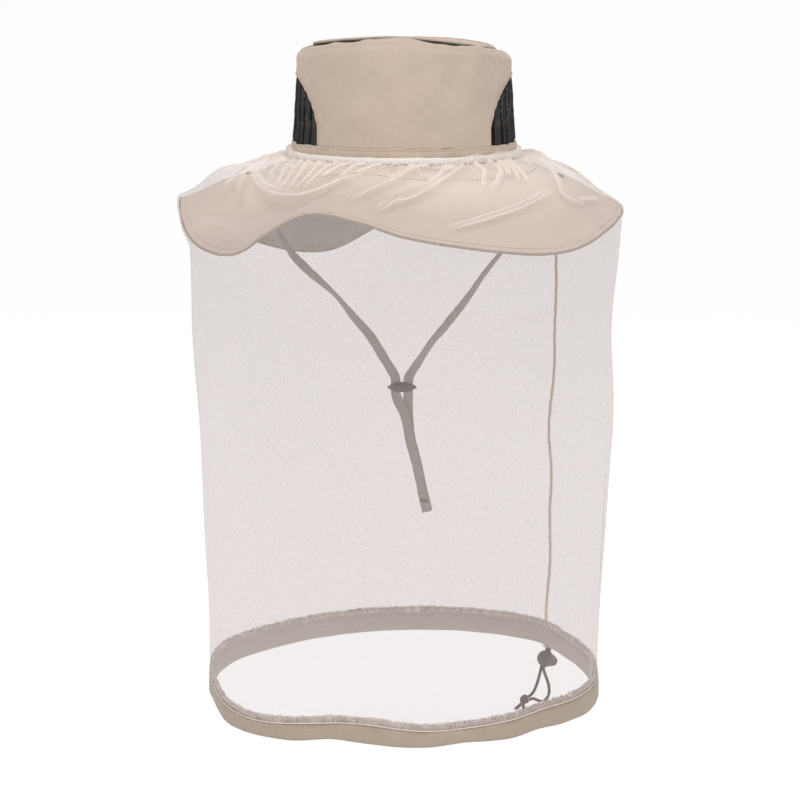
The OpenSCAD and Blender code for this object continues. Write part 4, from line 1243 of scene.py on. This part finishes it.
# Long folds at the sides and the back
draw = np.random.default_rng(17)
for k in range(22):
    at = -8 + 206 * (k + draw.uniform(0.1, 0.9)) / 22
    reach = draw.uniform(38, 88)
    drift, bow = draw.uniform(-14, 9), draw.uniform(-3, 3)
    width = draw.uniform(2.4, 4.2)
    route = [(at, 2.5), (at + drift * 0.3 + bow * 0.5, reach * 0.35), (at + drift * 0.65 + bow, reach * 0.7),
             (at + drift, reach)]
    height, dense = draw.uniform(1.6, 3.2), draw.uniform(0.35, 0.8)
    fold(route, (width * 1.2, width, width * 0.6), 1.6, height, (0.05, 0.5), dense)

cloth_u = (np.append(net_t, net_t[0] + 360) - net_t[0]) / 360 * NET_U
net = grid("veil_net_sheet", base + shift, wrap_u=True, cloth_u=cloth_u, flip=True)
# How far the cloth is drawn in, from its free width at the hem to the elastic
girth = np.linalg.norm(np.roll(base, -1, 0) - base, axis=-1).sum(0)
drawn_in = np.clip((girth[-1] / girth - 1) / (girth[-1] / girth[0] - 1), 0, 1)
drawn_in = np.repeat(drawn_in[None], COLUMNS, 0)
# The net hangs in a few overlapping folds at the two sides of its lower half, drawn only as denser cover and
# as painted paler streaks of light
fall = np.concatenate([np.zeros(FRILL_ROWS + TOP_ROWS), fall_f[0]])
for at, drift, wide, start, paleness in (
    (335.5, 2.5, 0.9, 0.62, 0.34), (339.5, -1.5, 1.6, 0.7, 0.3), (345, 1.0, 1.1, 0.5, 0.22),
    (203, 4.0, 0.8, 0.55, 0.26), (196, -2.0, 1.3, 0.2, 0.18), (350, 2.0, 1.4, 0.05, 0.16),
):
    away = (net_t[:, None] - at - drift * fall + 180) % 360 - 180
    folded = np.maximum(folded, paleness * bell(away, 0, wide) * smoothstep(start, start + 0.25, fall))
# the gathers' crests are also drawn denser and painted paler, as painted light
folded = np.clip(folded + 0.22 * (0.5 + 0.5 * pleat) * strength * fade, 0, 1)
attribute(net, "drawn_in", drawn_in)
attribute(net, "folded", folded)
finish_piece(net, net_mesh, "net", "veil_gathers", "veil_net_top", "veil_net_body")
sheet_height = float(np.linalg.norm(np.diff(base, axis=1), axis=-1).mean(0).sum())

# Overlocked side seam inside the net, from the brim's edge down to the hem
seam_f = np.linspace(0.002, 0.985, 330)
seam_t = SEAM_ANGLE + (SEAM_FOOT - SEAM_ANGLE) * seam_f
sway = 0.42 * ripple(seam_f * 380, 0, 95, 121) + 0.09 * ripple(seam_f * 380, 0, 13, 122)
sway = sway + 0.3 * bell(seam_f, 0.05, 0.03)
seam_line = net_body(seam_t + sway, seam_f)
seam_line = spread(seam_line - unit(seam_line * [1, 1, 0]) * 1.5, 2.0)
seam_out, seam_across = np.array([0.69, 0.72, 0]), unit(np.array([-0.72, 0.69, 0.0]))
ribbon_r = 1.15 + 0.2 * ripple(np.arange(len(seam_line)) * 2.0, 0, 30, 123)
ribbon_side = np.broadcast_to(seam_across, seam_line.shape)
seam_parts = [tube("seam_ribbon", seam_line, ribbon_r, flat=0.45, side=ribbon_side)]
for seed, depth in ((131, -0.5), (132, 0.5)):
    line = seam_line + seam_out * depth
    seam_parts.append(zigzag("seam_thread", line, seam_across, seam_out, 2.5, 2.1, 0.3, seed))
seam = merge("side_seam", seam_parts)
finish_piece(seam, thread_beige, "seam_thread", "veil_side_seam")


# ---- Hem ----

# The casing's section from its outer top edge under its fold to its inner top edge: distance
# outward from the hem's oval, and level from the casing's top
HEM_SECTION = [
    (0.9, 0.3), (1.5, -0.7), (2.0, -2.6), (2.3, -5.2), (2.45, -8), (2.6, -10.6), (2.6, -12.7),
    (2.0, -14.4), (0.7, -15.0), (-0.7, -15.0), (-2.0, -14.4), (-2.6, -12.7), (-2.6, -10.6),
    (-2.45, -8), (-2.3, -5.2), (-2.0, -2.6), (-1.5, -0.7), (-1.1, 0.3), (-1.05, 1.6), (-1.0, 3.2),
    (-0.9, 4.5),
]
t = turns(600)[:, None]
section = np.array(HEM_SECTION)
depth = -section[:, 1][None]
run = t * 2.69
share = np.clip(depth / CASING_H, 0, 1)
level = CASING_TOP - depth + HEM_HIGH(t) * (1 - share) + HEM_LOW(t) * share
swell = 0.35 * ripple(run, depth, 34, 141)
puckers = np.sin(run * 0.9 + depth * 0.35 + 2 * ripple(run, 0, 50, 142)) * np.exp(-depth / 5)
pleats = bell(t, 223, 1.1) + bell(t, 228, 1.0) + 0.7 * bell(t, 212, 1.4)
swell = swell + 0.22 * puckers + 1.7 * pleats * np.sin(math.pi * share)
sign = np.sign(section[:, 0])[None]
hem_points = hem(t, section[:, 0][None] + sign * swell, level)
casing = grid("hem_casing_cloth", hem_points[:, :11], wrap_u=True, flip=True)
thicken(casing, 0.55)
finish_piece(casing, hem_cloth, "hem_fabric", "hem_casing")
casing_inside = grid("hem_casing_inside", hem_points[:, 9:], wrap_u=True, flip=True)
thicken(casing_inside, 0.55)
finish_piece(casing_inside, lit_hem_inside, "hem_fabric")

t = np.linspace(0, 360, 700)
line_z = CASING_TOP + HEM_HIGH(t)
rows_of_stitches = []
for side in (1, -1):
    line = hem(t, side * 2.05, line_z - 2.1)
    rows_of_stitches.append(stitches(line, unit(line * [1, 1, 0]) * side, 3.0, 2.2, 0.4))
finish_piece(merge("hem_topstitch", rows_of_stitches), thread_tan, "seam_thread")
fold_line = tube("net_seam_edge", hem(t[:-1], 1.75, line_z[:-1] + 0.5), 0.42, closed=True)
finish_piece(fold_line, net_edge, "net")

strip_z = np.array([0.2, 1.6, 3.2, 4.8, 5.6, 4.8, 3.2, 1.6, 0.2])[None]
strip_out = np.array([0.6, 0.65, 0.6, 0.5, 0.1, -0.35, -0.45, -0.5, -0.4])[None]
tt = turns(600)[:, None]
strip_out = strip_out + 0.25 * ripple(tt * HEM_MM, strip_z, 12, 151)
strip_z = CASING_TOP + HEM_HIGH(tt) + strip_z * (1 + 0.10 * ripple(tt * HEM_MM, 0, 7, 152))
thread_parts = [grid("hem_overlock_strip", hem(tt, strip_out, strip_z), wrap_u=True)]
for seed, out in ((161, 0.95), (162, -0.75)):
    line = hem(t, out, line_z + 3.2)
    outward = unit(spread(line, 2.3 / 6) * [1, 1, 0])
    thread_parts.append(zigzag("hem_thread", line, [0, 0, 1.0], outward, 5.6, 2.3, 0.38, seed))
overlock = merge("hem_overlock_threads", thread_parts)
finish_piece(overlock, hem_thread, "seam_thread", "hem_overlock")


# ---- CAD pieces that stay ----

for node, material in (
    ("cord_lock_body", lock_plastic), ("cord_lock_plunger", lock_plastic), ("cord_lock_spring", spring_steel),
    ("chin_slider", slider_plastic), ("strap_stud_left", stud_metal), ("strap_stud_right", stud_metal),
    ("strap_socket_left", stud_metal), ("strap_socket_right", stud_metal),
):
    dress(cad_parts[node], material)


# ---- Stage and light ----

floor_shader = Shader("floor_white")
grain = floor_shader.solid_noise(3.0, 2.0)
floor_colour = floor_shader.mix(grain, linear((104, 104, 104)), linear((108, 108, 108)))
floor_node = floor_shader.node(
    "BsdfPrincipled",
    {"Base Color": floor_colour, "Roughness": 0.9, "Specular IOR Level": 0.1,
     "Emission Color": (1, 1, 1, 1), "Emission Strength": 0.88},
)
floor_material = floor_shader.surface(floor_node)
# A wide white studio sweep that rises all round, far behind the object
rings = [(0, -620), (2500, -620), (9000, -560), (20000, 900), (45000, 14000), (60000, 40000)]
ring_r, ring_z = np.array(rings, float).T
t = turns(64)[:, None]
sweep_points = np.stack(np.broadcast_arrays(cosd(t) * ring_r, sind(t) * ring_r, ring_z), -1)
floor = grid("floor", sweep_points, wrap_u=True, plan=True)
floor.data.materials.append(floor_material)
floor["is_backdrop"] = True

world = bpy.data.worlds.new("studio")
world.use_nodes = True
backdrop = world.node_tree.nodes["Background"]
backdrop.inputs["Color"].default_value = (1, 1, 1, 1)
backdrop.inputs["Strength"].default_value = 0.4
scene.world = world


def softbox(name, place, aim, size, power):
    """A round area light that faces a point."""
    light = bpy.data.objects.new(name, bpy.data.lights.new(name, "AREA"))
    light.data.shape = "DISK"
    light.data.size = size
    light.data.energy = power
    light.location = place
    direction = np.array(aim) - np.array(place)
    from_up = math.atan2(math.hypot(direction[0], direction[1]), -direction[2])
    light.rotation_euler = (from_up, 0, math.atan2(direction[1], direction[0]) - math.pi / 2)
    scene.collection.objects.link(light)


softbox("key", (-0.35, -1.6, 2.35), (0, 0, -0.05), 1.8, 52)
softbox("fill", (1.8, -1.6, 0.9), (0, 0, -0.15), 1.6, 8)
softbox("back", (0.4, 2.2, 1.6), (0, 0, -0.1), 1.8, 14)

scene.view_settings.view_transform = "Standard"
if hasattr(scene, "cycles"):
    scene.cycles.transparent_max_bounces = 40

low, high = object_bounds()
